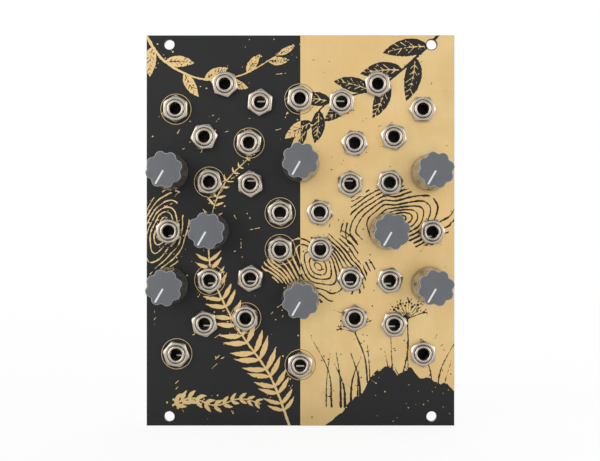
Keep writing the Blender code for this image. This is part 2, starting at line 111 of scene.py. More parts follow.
class Graph:
    """A material's node tree, with short ways to add what the finishes need."""

    def __init__(self, name: str) -> None:
        """Starts a material with one Principled shader.

        Args:
            name: The material's name.
        """
        self.material = bpy.data.materials.new(name)
        self.material.use_nodes = True
        self.tree = self.material.node_tree
        self.shader = self.tree.nodes["Principled BSDF"]
        self.place = self.add("ShaderNodeTexCoord").outputs["Object"]

    def add(self, kind: str, **values: object) -> bpy.types.Node:
        """Adds a node.

        Args:
            kind: The node's Blender type.
            **values: Properties to set on it.

        Returns:
            The new node.
        """
        node = self.tree.nodes.new(kind)
        for name, value in values.items():
            setattr(node, name, value)
        return node

    def put(self, value: object, socket: Socket) -> None:
        """Links a socket's value to another socket, or sets a plain number or colour on it."""
        if isinstance(value, Socket):
            self.tree.links.new(value, socket)
        else:
            socket.default_value = value

    def maths(self, operation: str, first: object, second: object = 0.0) -> Socket:
        """Returns the outcome of a sum on one or two values."""
        node = self.add("ShaderNodeMath", operation=operation)
        self.put(first, node.inputs[0])
        self.put(second, node.inputs[1])
        return node.outputs[0]

    def parts(self) -> Sequence[Socket]:
        """Returns X, Y and Z of the place on the piece."""
        node = self.add("ShaderNodeSeparateXYZ")
        self.put(self.place, node.inputs[0])
        return node.outputs

    def length(self, first: object, second: object) -> Socket:
        """Returns the length of a step that runs so far along two axes."""
        squares = [self.maths("MULTIPLY", way, way) for way in (first, second)]
        return self.maths("SQRT", self.maths("ADD", *squares))

    def noise(self, size: float, detail: float, stretch: Sequence[float] = (1, 1, 1)) -> Socket:
        """Makes cloudy noise in the piece's own space.

        Args:
            size: How wide one cloud is, in metres.
            detail: How many finer layers it has.
            stretch: How much tighter it runs along X, Y and Z.

        Returns:
            A value from 0 to 1.
        """
        scale = self.add("ShaderNodeMapping")
        self.put(self.place, scale.inputs["Vector"])
        scale.inputs["Scale"].default_value = [share / size for share in stretch]
        node = self.add("ShaderNodeTexNoise")
        self.put(scale.outputs[0], node.inputs["Vector"])
        node.inputs["Scale"].default_value = 1.0
        node.inputs["Detail"].default_value = detail
        return node.outputs["Fac"]

    def span(self, value: object, low: float, high: float, to_low: float, to_high: float) -> Socket:
        """Returns a value moved from one range to another and kept inside it."""
        node = self.add("ShaderNodeMapRange")
        for socket, given in zip(node.inputs, (value, low, high, to_low, to_high)):
            self.put(given, socket)
        return node.outputs[0]

    def mix(self, share: object, first: object, second: object) -> Socket:
        """Returns a colour between two colours."""
        node = self.add("ShaderNodeMix", data_type="RGBA")
        self.put(share, node.inputs[0])
        for given, number in zip((first, second), MIX_COLOURS):
            self.put((*given, 1.0) if isinstance(given, tuple) else given, node.inputs[number])
        return node.outputs[2]

    def bump(self, height: object, depth: float) -> None:
        """Raises and lowers the surface a little.

        Args:
            height: The relief, from 0 to 1.
            depth: How high a relief of 1 stands, in metres.
        """
        node = self.add("ShaderNodeBump")
        node.inputs["Strength"].default_value = 1.0
        node.inputs["Distance"].default_value = depth
        self.put(height, node.inputs["Height"])
        earlier = self.shader.inputs["Normal"].links
        if earlier:
            self.put(earlier[0].from_socket, node.inputs["Normal"])
        self.put(node.outputs[0], self.shader.inputs["Normal"])


@dataclass(frozen=True)
class Finish:
    """A surface: its colour, how it varies, how rough it is and the grain that it shows.

    Attributes:
        name: The material's name.
        colour: The colour, linear.
        shade: The colour of its darker clouds.
        cloud: How wide a cloud is.
        rough: The roughness at its smoothest and at its roughest.
        grain: How wide one grain of its relief is.
        relief: How deep the relief is.
        metallic: 1 for bare metal.
        specular: How strongly a coat or plastic shines, 0.5 for a usual one.
    """

    name: str
    colour: Colour
    shade: Colour
    cloud: float = 6 * MM
    rough: Span = (0.4, 0.5)
    grain: float = 0.12 * MM
    relief: float = 0.004 * MM
    metallic: float = 0.0
    specular: float = 0.5

    def material(self) -> bpy.types.Material:
        """Returns the finish's material, made at its first use."""
        if self.name not in MADE:
            MADE[self.name] = self.make()
        return MADE[self.name]

    def make(self) -> bpy.types.Material:
        """Builds the node material.

        Returns:
            The new material.
        """
        graph = Graph(self.name)
        inputs = graph.shader.inputs
        inputs["Metallic"].default_value = self.metallic
        inputs["Specular IOR Level"].default_value = self.specular
        graph.put(self.tint(graph), inputs["Base Color"])
        rough = graph.span(graph.noise(self.cloud / 2, 3), *ROUGH_SPAN, *self.rough)
        graph.put(rough, inputs["Roughness"])
        self.texture(graph)
        graph.material.diffuse_color = (*self.colour, 1.0)
        return graph.material

    def tint(self, graph: Graph) -> Socket:
        """Returns the surface's colour."""
        clouds = graph.span(graph.noise(self.cloud, 3), *COLOUR_SPAN, 0.0, 1.0)
        return graph.mix(clouds, self.colour, self.shade)

    def texture(self, graph: Graph) -> None:
        """Gives the surface its grain."""
        graph.bump(graph.noise(self.grain, 1), self.relief)


@dataclass(frozen=True)
class TurnedFinish(Finish):
    """Metal from a lathe, with fine rings about the piece's own forward axis.

    Attributes:
        ring: How far apart the rings are.
        ring_relief: How deep they are.
    """

    ring: float = 0.14 * MM
    ring_relief: float = 0.0015 * MM

    def texture(self, graph: Graph) -> None:
        """Gives the surface its grain and the lathe's rings."""
        super().texture(graph)
        right, _, up = graph.parts()
        away = graph.length(right, up)
        wave = graph.maths("SINE", graph.maths("MULTIPLY", away, math.tau / self.ring))
        graph.bump(graph.span(wave, -1, 1, 0, 1), self.ring_relief)


@dataclass(frozen=True)
class BoardFinish(Finish):
    """A coated circuit board, whose cut edges show the bare laminate in its layers.

    Attributes:
        front: Where the board's front face lies along Y.
        rear: Where its rear face lies along Y.
        skin: How thick the coat on each face is.
        core: The laminate's colour.
        core_shade: The colour of its glass layers.
        layer: How thick one layer of glass is.
        weave: How wide two threads of the glass are.
        weave_relief: How high they stand.
    """

    front: float = 0.0
    rear: float = 0.0
    skin: float = 0.06 * MM
    core: Colour = (0.30, 0.22, 0.10)
    core_shade: Colour = (0.20, 0.14, 0.06)
    layer: float = 0.19 * MM
    weave: float = 0.9 * MM
    weave_relief: float = 0.0012 * MM

    def tint(self, graph: Graph) -> Socket:
        """Returns the coat's colour on the faces and the laminate's on the edges."""
        coat = super().tint(graph)
        depth = graph.parts()[1]
        layers = graph.maths("SINE", graph.maths("MULTIPLY", depth, math.tau / self.layer))
        core = graph.mix(graph.span(layers, -0.6, 0.9, 0, 1), self.core, self.core_shade)
        after_front = graph.maths("GREATER_THAN", depth, self.front + self.skin)
        before_rear = graph.maths("LESS_THAN", depth, self.rear - self.skin)
        return graph.mix(graph.maths("MULTIPLY", after_front, before_rear), coat, core)

    def texture(self, graph: Graph) -> None:
        """Gives the coat its grain and lets the weave of the glass show faintly."""
        super().texture(graph)
        right, _, up = graph.parts()
        turns = [graph.maths("MULTIPLY", way, math.tau / self.weave) for way in (right, up)]
        threads = graph.maths("MULTIPLY", *[graph.maths("SINE", turn) for turn in turns])
        graph.bump(graph.span(threads, -1, 1, 0, 1), self.weave_relief)


@dataclass(frozen=True)
class GoldFinish(Finish):
    """Plated copper, with faint upright lines and slow changes of hue.

    Attributes:
        blush: The colour of its warmer patches.
        blush_share: How much of that colour a patch takes on.
        blush_span: Which part of its noise it comes in over.
        patch: How wide a patch is.
        line: How far apart the lines are.
        line_share: How much of the darker colour a line takes on.
        line_span: Which part of its noise it comes in over.
        line_relief: How high a line stands.
        upright: How much tighter the lines run along X, Y and Z than a cloud.
    """

    blush: Colour = (0.88, 0.59, 0.26)
    blush_share: float = 0.75
    blush_span: Span = (0.42, 0.68)
    patch: float = 28 * MM
    line: float = 0.42 * MM
    line_share: float = 0.35
    line_span: Span = (0.42, 0.72)
    line_relief: float = 0.003 * MM
    upright: Triple = (1, 0.02, 0.012)

    def tint(self, graph: Graph) -> Socket:
        """Returns gold with warmer patches and faint lines."""
        ground = super().tint(graph)
        patches = graph.span(graph.noise(self.patch, 1), *self.blush_span, 0.0, self.blush_share)
        warm = graph.mix(patches, ground, self.blush)
        lines = graph.noise(self.line, 1, self.upright)
        lines = graph.span(lines, *self.line_span, 0.0, self.line_share)
        return graph.mix(lines, warm, self.shade)

    def texture(self, graph: Graph) -> None:
        """Gives the plating its grain and its upright lines."""
        super().texture(graph)
        graph.bump(graph.noise(self.line, 1, self.upright), self.line_relief)


@dataclass(frozen=True)
class KnobFinish(Finish):
    """Moulded plastic with a finely matt top, a polished rim with a painted highlight and glossy sides
    in painted shade.

    Attributes:
        top: Where the top face lies, along the piece's own Y.
        matt: The roughness of the top at its least and most.
        matt_ends: How far below the top the matt face starts and has given way to the gloss.
        rim: The colour of the rim, where the finish is thinnest.
        rim_highlight_starts: How far below the top the rim's colour starts and is full.
        side: The colour of the glossy sides.
        side_shade_starts: How far below the top the sides' colour starts and is full.
        speck: How wide a patch of like gloss is.
    """

    top: float = 0.0
    matt: Span = (0.42, 0.5)
    matt_ends: Span = (0.3 * MM, 0.5 * MM)
    # rim: The lighter colour of the rim, a painted highlight on its rounded edge.
    rim: Colour = (0.34, 0.355, 0.36)
    # rim_highlight_starts: How far below the top the rim's painted highlight starts and is full.
    rim_highlight_starts: Span = (0.03 * MM, 0.12 * MM)
    # side: The darker colour of the glossy sides, painted shade where less light falls on them.
    side: Colour = (0.100, 0.101, 0.096)
    # side_shade_starts: How far below the top the sides' painted shade starts and is full.
    side_shade_starts: Span = (0.4 * MM, 0.7 * MM)
    speck: float = 1.2 * MM

    def below(self, graph: Graph, reach: Span, first: float, last: float) -> Socket:
        """Returns a value that goes from first to last over a reach below the top."""
        return graph.span(graph.parts()[1], self.top + reach[0], self.top + reach[1], first, last)

    def tint(self, graph: Graph) -> Socket:
        """Returns the top's colour, the rim's lighter one as a painted highlight and the sides' darker
        one as painted shade.
        """
        # The rim's lighter colour is a painted highlight on the top's rounded edge.
        edge = graph.mix(self.below(graph, self.rim_highlight_starts, 0.0, 1.0), super().tint(graph), self.rim)
        # The sides' darker colour is painted shade, where less light falls on the walls.
        return graph.mix(self.below(graph, self.side_shade_starts, 0.0, 1.0), edge, self.side)

    def texture(self, graph: Graph) -> None:
        """Gives the moulding its grain, and the top its own roughness."""
        on_top = self.below(graph, self.matt_ends, 1.0, 0.0)
        cloud = graph.noise(self.speck, 3)
        sides = graph.span(cloud, *ROUGH_SPAN, *self.rough)
        matt = graph.span(cloud, *ROUGH_SPAN, *self.matt)
        rough = graph.add("ShaderNodeMix", data_type="FLOAT")
        for given, number in zip((on_top, sides, matt), (0, *MIX_NUMBERS)):
            graph.put(given, rough.inputs[number])
        graph.put(rough.outputs[0], graph.shader.inputs["Roughness"])
        graph.bump(graph.maths("MULTIPLY", graph.noise(self.grain, 1), on_top), self.relief)


PANEL_COAT = BoardFinish(
    "panel_coat", (0.0125, 0.0135, 0.013), (0.0105, 0.0112, 0.011), 16 * MM, (0.40, 0.48),
    specular=0.32, front=-1.6 * MM, rear=0.0,
)
PANEL_GOLD = GoldFinish(
    "panel_gold", (0.88, 0.65, 0.318), (0.80, 0.575, 0.263), 9 * MM, (0.32, 0.40), metallic=1.0,
)
NICKEL = TurnedFinish(
    "nickel_plate", (0.595, 0.536, 0.453), (0.54, 0.482, 0.405), 1.5 * MM, (0.24, 0.29),
    relief=0.0012 * MM, metallic=0.95, ring_relief=0.0004 * MM,
)
CONTACT = Finish(
    "jack_contact", (0.47, 0.427, 0.365), (0.42, 0.382, 0.325), 1.0 * MM, (0.10, 0.16), metallic=1.0,
)
JACK_PLASTIC = Finish(
    "jack_plastic", (0.016, 0.016, 0.017), (0.011, 0.011, 0.012), 3 * MM, (0.35, 0.5),
    relief=0.008 * MM,
)
KNOB_GREY = KnobFinish(
    "grey_moulding", (0.113, 0.122, 0.133), (0.101, 0.109, 0.119), 5 * MM, (0.14, 0.19),
    0.16 * MM, 0.006 * MM, specular=0.8, top=-19.4 * MM,
)
POINTER_WHITE = Finish(
    "pointer_white", (0.83, 0.84, 0.85), (0.78, 0.79, 0.80), 1.5 * MM, (0.35, 0.45),
)
SHAFT_METAL = TurnedFinish(
    "turned_steel", (0.62, 0.61, 0.60), (0.56, 0.55, 0.54), 2 * MM, (0.25, 0.38), metallic=1.0,
)
POT_STEEL = Finish(
    "pot_steel", (0.56, 0.56, 0.55), (0.50, 0.50, 0.49), 2 * MM, (0.28, 0.42), metallic=1.0,
)
POT_PLASTIC = Finish(
    "pot_plastic", (0.020, 0.020, 0.021), (0.014, 0.014, 0.015), 3 * MM, (0.4, 0.55), relief=0.008 * MM,
)
BOARD_COAT = BoardFinish(
    "board_coat", (0.010, 0.0105, 0.0105), (0.008, 0.0085, 0.0085), 12 * MM, (0.30, 0.40),
    specular=0.4, front=10.0 * MM, rear=11.6 * MM,
)
SOLDER = Finish(
    "solder", (0.70, 0.70, 0.69), (0.60, 0.60, 0.60), 0.8 * MM, (0.2, 0.36), 0.2 * MM, 0.01 * MM,
    metallic=1.0,
)
PIN_GOLD = Finish(
    "pin_gold", (0.80, 0.60, 0.28), (0.74, 0.54, 0.24), 1 * MM, (0.2, 0.3), metallic=1.0,
)
CHIP_PLASTIC = Finish(
    "chip_plastic", (0.022, 0.022, 0.023), (0.016, 0.016, 0.017), 2 * MM, (0.5, 0.62),
    0.1 * MM, 0.01 * MM,
)
TRACK_COAT = Finish(
    "track_coat", (0.017, 0.018, 0.0175), (0.014, 0.0145, 0.0142), 8 * MM, (0.28, 0.38), specular=0.45,
)
RESISTOR_BODY = Finish(
    "resistor_body", (0.018, 0.018, 0.020), (0.013, 0.013, 0.015), 1 * MM, (0.3, 0.42),
)
CERAMIC_BODY = Finish(
    "ceramic_body", (0.30, 0.21, 0.13), (0.25, 0.17, 0.10), 1 * MM, (0.35, 0.48),
)
HEADER_PLASTIC = Finish(
    "shroud_plastic", (0.017, 0.017, 0.018), (0.012, 0.012, 0.013), 4 * MM, (0.38, 0.5),
    relief=0.008 * MM,
)
CAN_METAL = TurnedFinish(
    "can_metal", (0.68, 0.69, 0.70), (0.60, 0.61, 0.62), 2 * MM, (0.22, 0.34), metallic=1.0,
)


# Meshes

# The angle in degrees from which an edge stays sharp, where a piece gives no other
CREASE = 32.0


def stood(points: Array) -> Array:
    """Turns points drawn as (right, up, forward) into the frame's X, Y and Z."""
    points = np.asarray(points, float)
    return np.stack([points[:, 0], -points[:, 2], points[:, 1]], axis=1)


def mesh_from(name: str, points: Array, faces: Iterable[Sequence[int]], crease: float) -> Mesh:
    """Makes a mesh of points drawn in front view.

    Args:
        name: The mesh's name.
        points: Rows of (right, up, forward).
        faces: The corners of each face.
        crease: The angle in degrees from which an edge stays sharp.

    Returns:
        The new mesh, with smooth shading between its sharp edges.
    """
    mesh = bpy.data.meshes.new(name)
    mesh.from_pydata(stood(points).tolist(), [], [tuple(face) for face in faces])
    form = bmesh.new()
    form.from_mesh(mesh)
    bmesh.ops.recalc_face_normals(form, faces=form.faces)
    form.to_mesh(mesh)
    form.free()
    return smoothed(mesh, crease)


def smoothed(mesh: Mesh, crease: float = CREASE) -> Mesh:
    """Gives a mesh smooth shading between edges sharper than the crease in degrees."""
    mesh.shade_smooth()
    mesh.set_sharp_from_angle(angle=math.radians(crease))
    return mesh


def ring_of(radius: object, forward: object, angles: Array) -> Array:
    """Returns a ring about the forward axis, of one radius and depth or one for each angle."""
    flat = np.ones_like(angles)
    return np.stack([radius * np.cos(angles), radius * np.sin(angles), forward * flat], axis=1)


def ring_faces(count: int, sides: int, closed: bool, start: int = 0) -> list[Sequence[int]]:
    """Returns the faces that join rings of points into one solid.

    Args:
        count: How many rings there are.
        sides: How many points a ring has.
        closed: True where the last ring joins the first, and else both ends get a cap.
        start: The number of the first ring's first point.
    """
    faces: list[Sequence[int]] = []
    for at in range(count if closed else count - 1):
        low, high = start + at * sides, start + (at + 1) % count * sides
        for step in range(sides):
            after = (step + 1) % sides
            faces.append((low + step, low + after, high + after, high + step))
    if not closed:
        end = start + count * sides
        faces += [range(start, start + sides), range(end - sides, end)]
    return faces


def turned_mesh(
    name: str,
    rings: Sequence[tuple[object, object]],
    sides: int,
    closed: bool = True,
    crease: float = CREASE,
) -> Mesh:
    """Joins rings about the forward axis into one solid.

    Args:
        name: The mesh's name.
        rings: The radius and the forward place of each ring.
        sides: How many points a ring has.
        closed: True where the last ring joins the first, and else both ends get a cap.
        crease: The angle in degrees from which an edge stays sharp.

    Returns:
        The new mesh.
    """
    angles = math.tau * np.arange(sides) / sides
    points = np.vstack([ring_of(radius, forward, angles) for radius, forward in rings])
    return mesh_from(name, points, ring_faces(len(rings), sides, closed), crease)


def arc(centre: Point, radius: float, start: float, end: float, steps: int) -> list[Point]:
    """Returns points on an arc, for a rounded edge in a profile.

    Args:
        centre: The arc's centre.
        radius: Its radius.
        start: The angle at its first point, in degrees.
        end: The angle at its last point, in degrees.
        steps: How many pieces it has.
    """
    right, up = centre
    turns = np.radians(np.linspace(start, end, steps + 1))
    return [(right + radius * math.cos(turn), up + radius * math.sin(turn)) for turn in turns]


def rounded(form: Form, edges: Sequence[bmesh.types.BMEdge], offset: float) -> None:
    """Rounds edges of a form a little, in two steps."""
    bmesh.ops.bevel(form, geom=edges, offset=offset, segments=2, profile=0.5, affect="EDGES")


def block(form: Form, size: Sequence[float], centre: Sequence[float], bevel: float = 0.0) -> None:
    """Adds a box to a form that is drawn in front view.

    Args:
        form: The form.
        size: Its size along right, up and forward.
        centre: Its centre.
        bevel: How far its edges are cut back.
    """
    place = Matrix.Translation(Vector(centre)) @ Matrix.Diagonal((*size, 1))
    made = bmesh.ops.create_cube(form, size=1, matrix=place)
    if bevel:
        edges = {edge for vertex in made["verts"] for edge in vertex.link_edges}
        rounded(form, list(edges), bevel)


def lofted(form: Form, rows: Sequence[Sequence[Sequence[float]]]) -> None:
    """Adds a solid to a form: walls between rows of as many points each, and a cap at each end."""
    made = [[form.verts.new(point) for point in row] for row in rows]
    for low, high in zip(made, made[1:]):
        for at in range(len(low)):
            after = (at + 1) % len(low)
            form.faces.new((low[at], low[after], high[after], high[at]))
    form.faces.new(made[-1])
    form.faces.new(reversed(made[0]))


def extrusion(form: Form, outline: Points, low: float, high: float) -> None:
    """Adds a solid to a form: an outline in front view, run from one depth forward to another."""
    lofted(form, [[(*point, depth) for point in outline] for depth in (low, high)])


def mesh_of(name: str, form: Form) -> Mesh:
    """Stands a form that is drawn in front view upright, and returns its mesh."""
    bmesh.ops.recalc_face_normals(form, faces=form.faces)
    form.transform(Matrix.Rotation(math.pi / 2, 4, "X"))
    mesh = bpy.data.meshes.new(name)
    form.to_mesh(mesh)
    form.free()
    return smoothed(mesh)


def cut(mesh: Mesh, tool: Mesh, crease: float = CREASE) -> Mesh:
    """Cuts one mesh out of another.

    Args:
        mesh: What stays.
        tool: What is taken away.
        crease: The angle in degrees from which an edge stays sharp.

    Returns:
        The cut mesh, under the first one's name.
    """
    pair = [placed(part.name, part) for part in (mesh, tool)]
    modifier = pair[0].modifiers.new("cut", "BOOLEAN")
    modifier.operation = "DIFFERENCE"
    modifier.solver = "EXACT"
    modifier.object = pair[1]
    seen = pair[0].evaluated_get(bpy.context.evaluated_depsgraph_get())
    done = bpy.data.meshes.new_from_object(seen)
    name = mesh.name
    for obj in pair:
        bpy.data.objects.remove(obj, do_unlink=True)
    for part in (mesh, tool):
        bpy.data.meshes.remove(part)
    done.name = name
    return smoothed(done, crease)


# Pieces


def placed(name: str, data: bpy.types.ID) -> bpy.types.Object:
    """Adds an object to the scene."""
    obj = bpy.data.objects.new(name, data)
    bpy.context.scene.collection.objects.link(obj)
    return obj


def set_piece(
    name: str,
    mesh: Mesh,
    finish: Finish,
    body: str = CHASSIS,
    centre: Point = (0.0, 0.0),
    turn: float = 0.0,
    stands_for: Sequence[str] = (),
) -> None:
    """Sets one piece in the frame and makes it move with its body.

    Args:
        name: The piece's name.
        mesh: Its mesh, which pieces alike share.
        finish: Its finish.
        body: The body that it rides on.
        centre: Where its forward axis stands, as (right, up).
        turn: How far it is turned about that axis, anticlockwise in front view.
        stands_for: The solids of the frame that it replaces.
    """
    if not mesh.materials:
        mesh.materials.append(finish.material())
    piece = placed(name, mesh)
    piece.location = (centre[0], 0.0, centre[1])
    piece.rotation_euler = (0.0, -turn, 0.0)
    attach(piece, body)
    if stands_for:
        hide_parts(*stands_for)
    LOG.info("%s: %d faces on %s", name, len(mesh.polygons), body)


def dress(obj: bpy.types.Object, finish: Finish) -> None:
    """Gives a solid of the frame that stays in view its finish."""
    for slot in obj.material_slots:
        slot.material = finish.material()
    LOG.info("%s: dressed in %s", obj.name, finish.name)


# The printed design


class Noise:
    """Smooth noise on a plane, from one seeded lattice."""

    SIZE = 256

    def __init__(self, seed: int) -> None:
        """Draws the lattice from a seed."""
        self.lattice = np.random.default_rng(seed).random((self.SIZE, self.SIZE))

    def corner(self, column: Array, row: Array) -> Array:
        """Returns the lattice's values, which repeat past its size."""
        return self.lattice[row % self.SIZE, column % self.SIZE]

    def at(self, across: Array, up: Array) -> Array:
        """Returns noise from -1 to 1, whose clouds are 1 wide."""
        column, row = np.floor(across).astype(int), np.floor(up).astype(int)
        ease_x, ease_y = ((share * share * (3 - 2 * share)) for share in (across - column, up - row))
        low = self.corner(column, row) * (1 - ease_x) + self.corner(column + 1, row) * ease_x
        high = self.corner(column, row + 1) * (1 - ease_x) + self.corner(column + 1, row + 1) * ease_x
        return 2 * (low * (1 - ease_y) + high * ease_y) - 1

    def layered(self, across: Array, up: Array, layers: int) -> Array:
        """Returns noise with finer and weaker layers added."""
        return sum(self.at(across * 2**k + 17 * k, up * 2**k + 31 * k) / 2**k for k in range(layers))


class Drawing:
    """A line drawing as a field of distances in millimetres, below zero where there is ink."""

    FAR = 50.0

    def __init__(self, width: float, height: float, step: float) -> None:
        """Starts an empty sheet.

        Args:
            width: The sheet's width.
            height: Its height.
            step: How far apart the field's points are.
        """
        self.step = step
        self.columns = np.arange(-width / 2, width / 2 + step / 2, step)
        self.rows = np.arange(-height / 2, height / 2 + step / 2, step)
        self.field = np.full((len(self.rows), len(self.columns)), self.FAR)

    def window(self, low: Point, high: Point, reach: float) -> tuple[slice, slice]:
        """Returns the rows and columns of a box and its surroundings."""
        first, last = (np.searchsorted(self.columns, at) for at in (low[0] - reach, high[0] + reach))
        bottom, top = (np.searchsorted(self.rows, at) for at in (low[1] - reach, high[1] + reach))
        return slice(bottom, top), slice(first, last)

    def grid(self, area: tuple[slice, slice]) -> tuple[Array, Array]:
        """Returns the places of an area's points."""
        return np.meshgrid(self.columns[area[1]], self.rows[area[0]])

    def ink(self, area: tuple[slice, slice], away: Array, bare: bool = False) -> None:
        """Adds a shape to an area from each point's distance, or scratches it out of the ink."""
        held = self.field[area]
        self.field[area] = np.maximum(held, -away) if bare else np.minimum(held, away)

    def stroke(self, path: Points, half: object, bare: bool = False, reach: float = 1.6) -> None:
        """Draws a line.

        Args:
            path: The points that it runs through.
            half: Half its width, one number or one for each point.
            bare: True where it is scratched out of the ink.
            reach: How far from its edge the field is kept.
        """
        path = np.asarray(path, float)
        halves = np.broadcast_to(np.asarray(half, float), (len(path),))
        for start, end, first, last in zip(path, path[1:], halves, halves[1:]):
            area = self.window(np.minimum(start, end), np.maximum(start, end), max(first, last) + reach)
            across, up = self.grid(area)
            run = end - start
            share = ((across - start[0]) * run[0] + (up - start[1]) * run[1]) / max(run @ run, 1e-9)
            share = np.clip(share, 0, 1)
            away = np.hypot(across - start[0] - share * run[0], up - start[1] - share * run[1])
            self.ink(area, away - first - (last - first) * share, bare)

    def dot(self, place: Point, radius: float, bare: bool = False) -> None:
        """Draws a round dot."""
        self.stroke([place, (place[0] + 0.01, place[1])], radius, bare, 0.5)

    def ring(self, place: Point, radius: float, half: float) -> None:
        """Draws a ring of half a line's width."""
        turns = np.linspace(0, math.tau, 61)
        path = np.stack([place[0] + radius * np.cos(turns), place[1] + radius * np.sin(turns)], axis=1)
        self.stroke(path, half)


def bent(points: Points, count: int) -> Array:
    """Returns a smooth line through a few points.

    Args:
        points: The points that it runs through.
        count: About how many points it has itself.
    """
    held = np.asarray(points, float)
    held = np.vstack([2 * held[0] - held[1], held, 2 * held[-1] - held[-2]])
    spans = len(points) - 1
    line = []
    for at in range(spans):
        before, start, end, after = held[at : at + 4]
        for share in np.linspace(0, 1, max(2, count // spans), endpoint=False):
            slope = (end - before) * share
            sag = (2 * before - 5 * start + 4 * end - after) * share**2
            swing = (3 * start - before - 3 * end + after) * share**3
            line.append(start + (slope + sag + swing) / 2)
    return np.array([*line, held[-2]])


def towards(angle: float) -> Array:
    """Returns a step of length 1 at an angle from the right."""
    return np.array([math.cos(angle), math.sin(angle)])


class GardenPrint:
    """A garden in the manner of a woodcut, gold on black to the left and black on gold to the right.

    Places and widths are in millimetres from the panel's centre.
    """

    STEP = 0.1
    NOISE_SEED = 5
    CHANCE_SEED = 11

    def __init__(self, width: float, height: float) -> None:
        """Starts the sheet that the design is drawn on.

        Args:
            width: The panel's width in millimetres.
            height: Its height in millimetres.
        """
        self.sheet = Drawing(width, height, self.STEP)
        self.noise = Noise(self.NOISE_SEED)
        self.chance = np.random.default_rng(self.CHANCE_SEED)

    def leaf(
        self,
        foot: Point,
        heading: float,
        length: float,
        width: float,
        curl: float,
        vein_step: int = 0,
    ) -> None:
        """Draws a pointed leaf.

        Args:
            foot: Where it starts.
            heading: Which way it starts, in radians.
            length: Its length.
            width: Its greatest width.
            curl: How far it turns on its way to the tip.
            vein_step: How many steps lie between its side veins, and 0 for a plain leaf.
        """
        count = 14
        shares = np.linspace(0, 1, count + 1)
        headings = heading + curl * shares
        step = length / count
        across = foot[0] + np.cumsum(np.r_[0, np.cos(headings[:-1]) * step])
        up = foot[1] + np.cumsum(np.r_[0, np.sin(headings[:-1]) * step])
        rib = np.stack([across, up], axis=1)
        halves = np.maximum(width / 2 * np.sin(math.pi * shares**0.8) ** 0.9, 0.05)
        self.sheet.stroke(rib, halves)
        if vein_step:
            self.sheet.stroke(rib[1:-2], np.linspace(0.05 + 0.02 * width, 0.05, count - 2), True, 0.4)
            for at in range(2, count - 1, vein_step):
                for side in (-1, 1):
                    lean = headings[at] + side * math.radians(42)
                    tip = rib[at] + 1.05 * halves[at] * towards(lean)
                    self.sheet.stroke([rib[at], tip], [0.09, 0.05], True, 0.3)

    @staticmethod
    def heading_at(line: Array, at: int) -> float:
        """Returns which way a line runs at one of its points."""
        run = line[min(at + 1, len(line) - 1)] - line[max(at - 1, 0)]
        return math.atan2(run[1], run[0])

    def fern(self, spine: Points, length: float, width: float, pairs: int) -> None:
        """Draws a frond: a stem with pairs of leaflets that shorten to the tip.

        Args:
            spine: A few points of the stem.
            length: The longest leaflet's length.
            width: The longest leaflet's width.
            pairs: How many pairs there are.
        """
        line = bent(spine, 80)
        self.sheet.stroke(line, np.linspace(0.42, 0.10, len(line)))
        for share in np.linspace(0.08, 0.985, pairs):
            at = int(share * (len(line) - 1))
            size = length * (1 - share) ** 0.75 * min(1, 0.4 + share * 2.2)
            for side in (-1, 1):
                lean = self.heading_at(line, at) + side * math.radians(64)
                self.leaf(line[at], lean, max(size, 0.8), max(width * size / length, 0.5), -side * 0.35)

    def branch(self, spine: Points, leaves: int, length: float, width: float) -> None:
        """Draws a branch with broad veined leaves on one side and then the other.

        Args:
            spine: A few points of the branch.
            leaves: How many leaves it has beside the one at its tip.
            length: The first leaf's length.
            width: The first leaf's width.
        """
        line = bent(spine, 60)
        self.sheet.stroke(line, np.linspace(0.5, 0.15, len(line)))
        for number in range(leaves):
            share = 0.14 + 0.8 * number / (leaves - 1)
            at = int(share * (len(line) - 1))
            side = 1 if number % 2 else -1
            lean = self.heading_at(line, at) + side * math.radians(48 - 10 * share)
            long, wide = length * (1.05 - 0.4 * share), width * (1.05 - 0.35 * share)
            self.leaf(line[at], lean, long, wide, -side * 0.35, 2)
        self.leaf(line[-1], self.heading_at(line, len(line) - 1), length * 0.6, width * 0.55, 0, 2)

    def reeds(self, left: float, right: float, foot: float, count: int, height: float) -> None:
        """Draws tapered blades that sway a little, side by side on one foot line.

        Args:
            left: Where the first one stands.
            right: Where the last one stands.
            foot: How high the foot line lies.
            count: How many there are.
            height: The tallest one's height.
        """
        for number in range(count):
            across = left + (right - left) * (number + self.chance.uniform(-0.4, 0.4)) / count
            tall = height * self.chance.uniform(0.45, 1.0)
            sway = self.chance.uniform(-0.35, 0.35) * tall
            middle, tip = (across + 0.15 * sway, foot + tall / 2), (across + sway, foot + tall)
            line = bent([(across, foot), middle, tip], 12)
            self.sheet.stroke(line, np.linspace(self.chance.uniform(0.25, 0.6), 0.04, len(line)))

    def wood_rings(self, centre: Point, spread: Point, gap: float, half: float, turn: float) -> None:
        """Draws growth rings as in cut wood, within a patch with a ragged rim.

        Args:
            centre: The rings' centre.
            spread: The patch's half sizes.
            gap: How far apart the rings are.
            half: Half a ring's line width.
            turn: How far the rings' long way is turned from the right, in radians.
        """
        sheet = self.sheet
        area = sheet.window(np.subtract(centre, spread), np.add(centre, spread), 2)
        across, up = sheet.grid(area)
        right, above = across - centre[0], up - centre[1]
        along = math.cos(turn) * right + math.sin(turn) * above
        beside = math.cos(turn) * above - math.sin(turn) * right
        level = np.hypot(along / 2.2, beside) + 1.5 * self.noise.layered(across / 9, up / 9, 2)
        slope = np.maximum(np.hypot(*np.gradient(level, sheet.step)), 0.35)
        halves = half * (1 + 0.45 * self.noise.at(across / 3, up / 3))
        lines = np.abs((level / gap) % 1 - 0.5) * gap / slope - halves
        rim = (np.hypot(right / spread[0], above / spread[1]) - 1) * min(spread)
        rim += 2.2 * self.noise.layered(across / 4, up / 4, 3)
        sheet.ink(area, np.maximum(lines, rim))

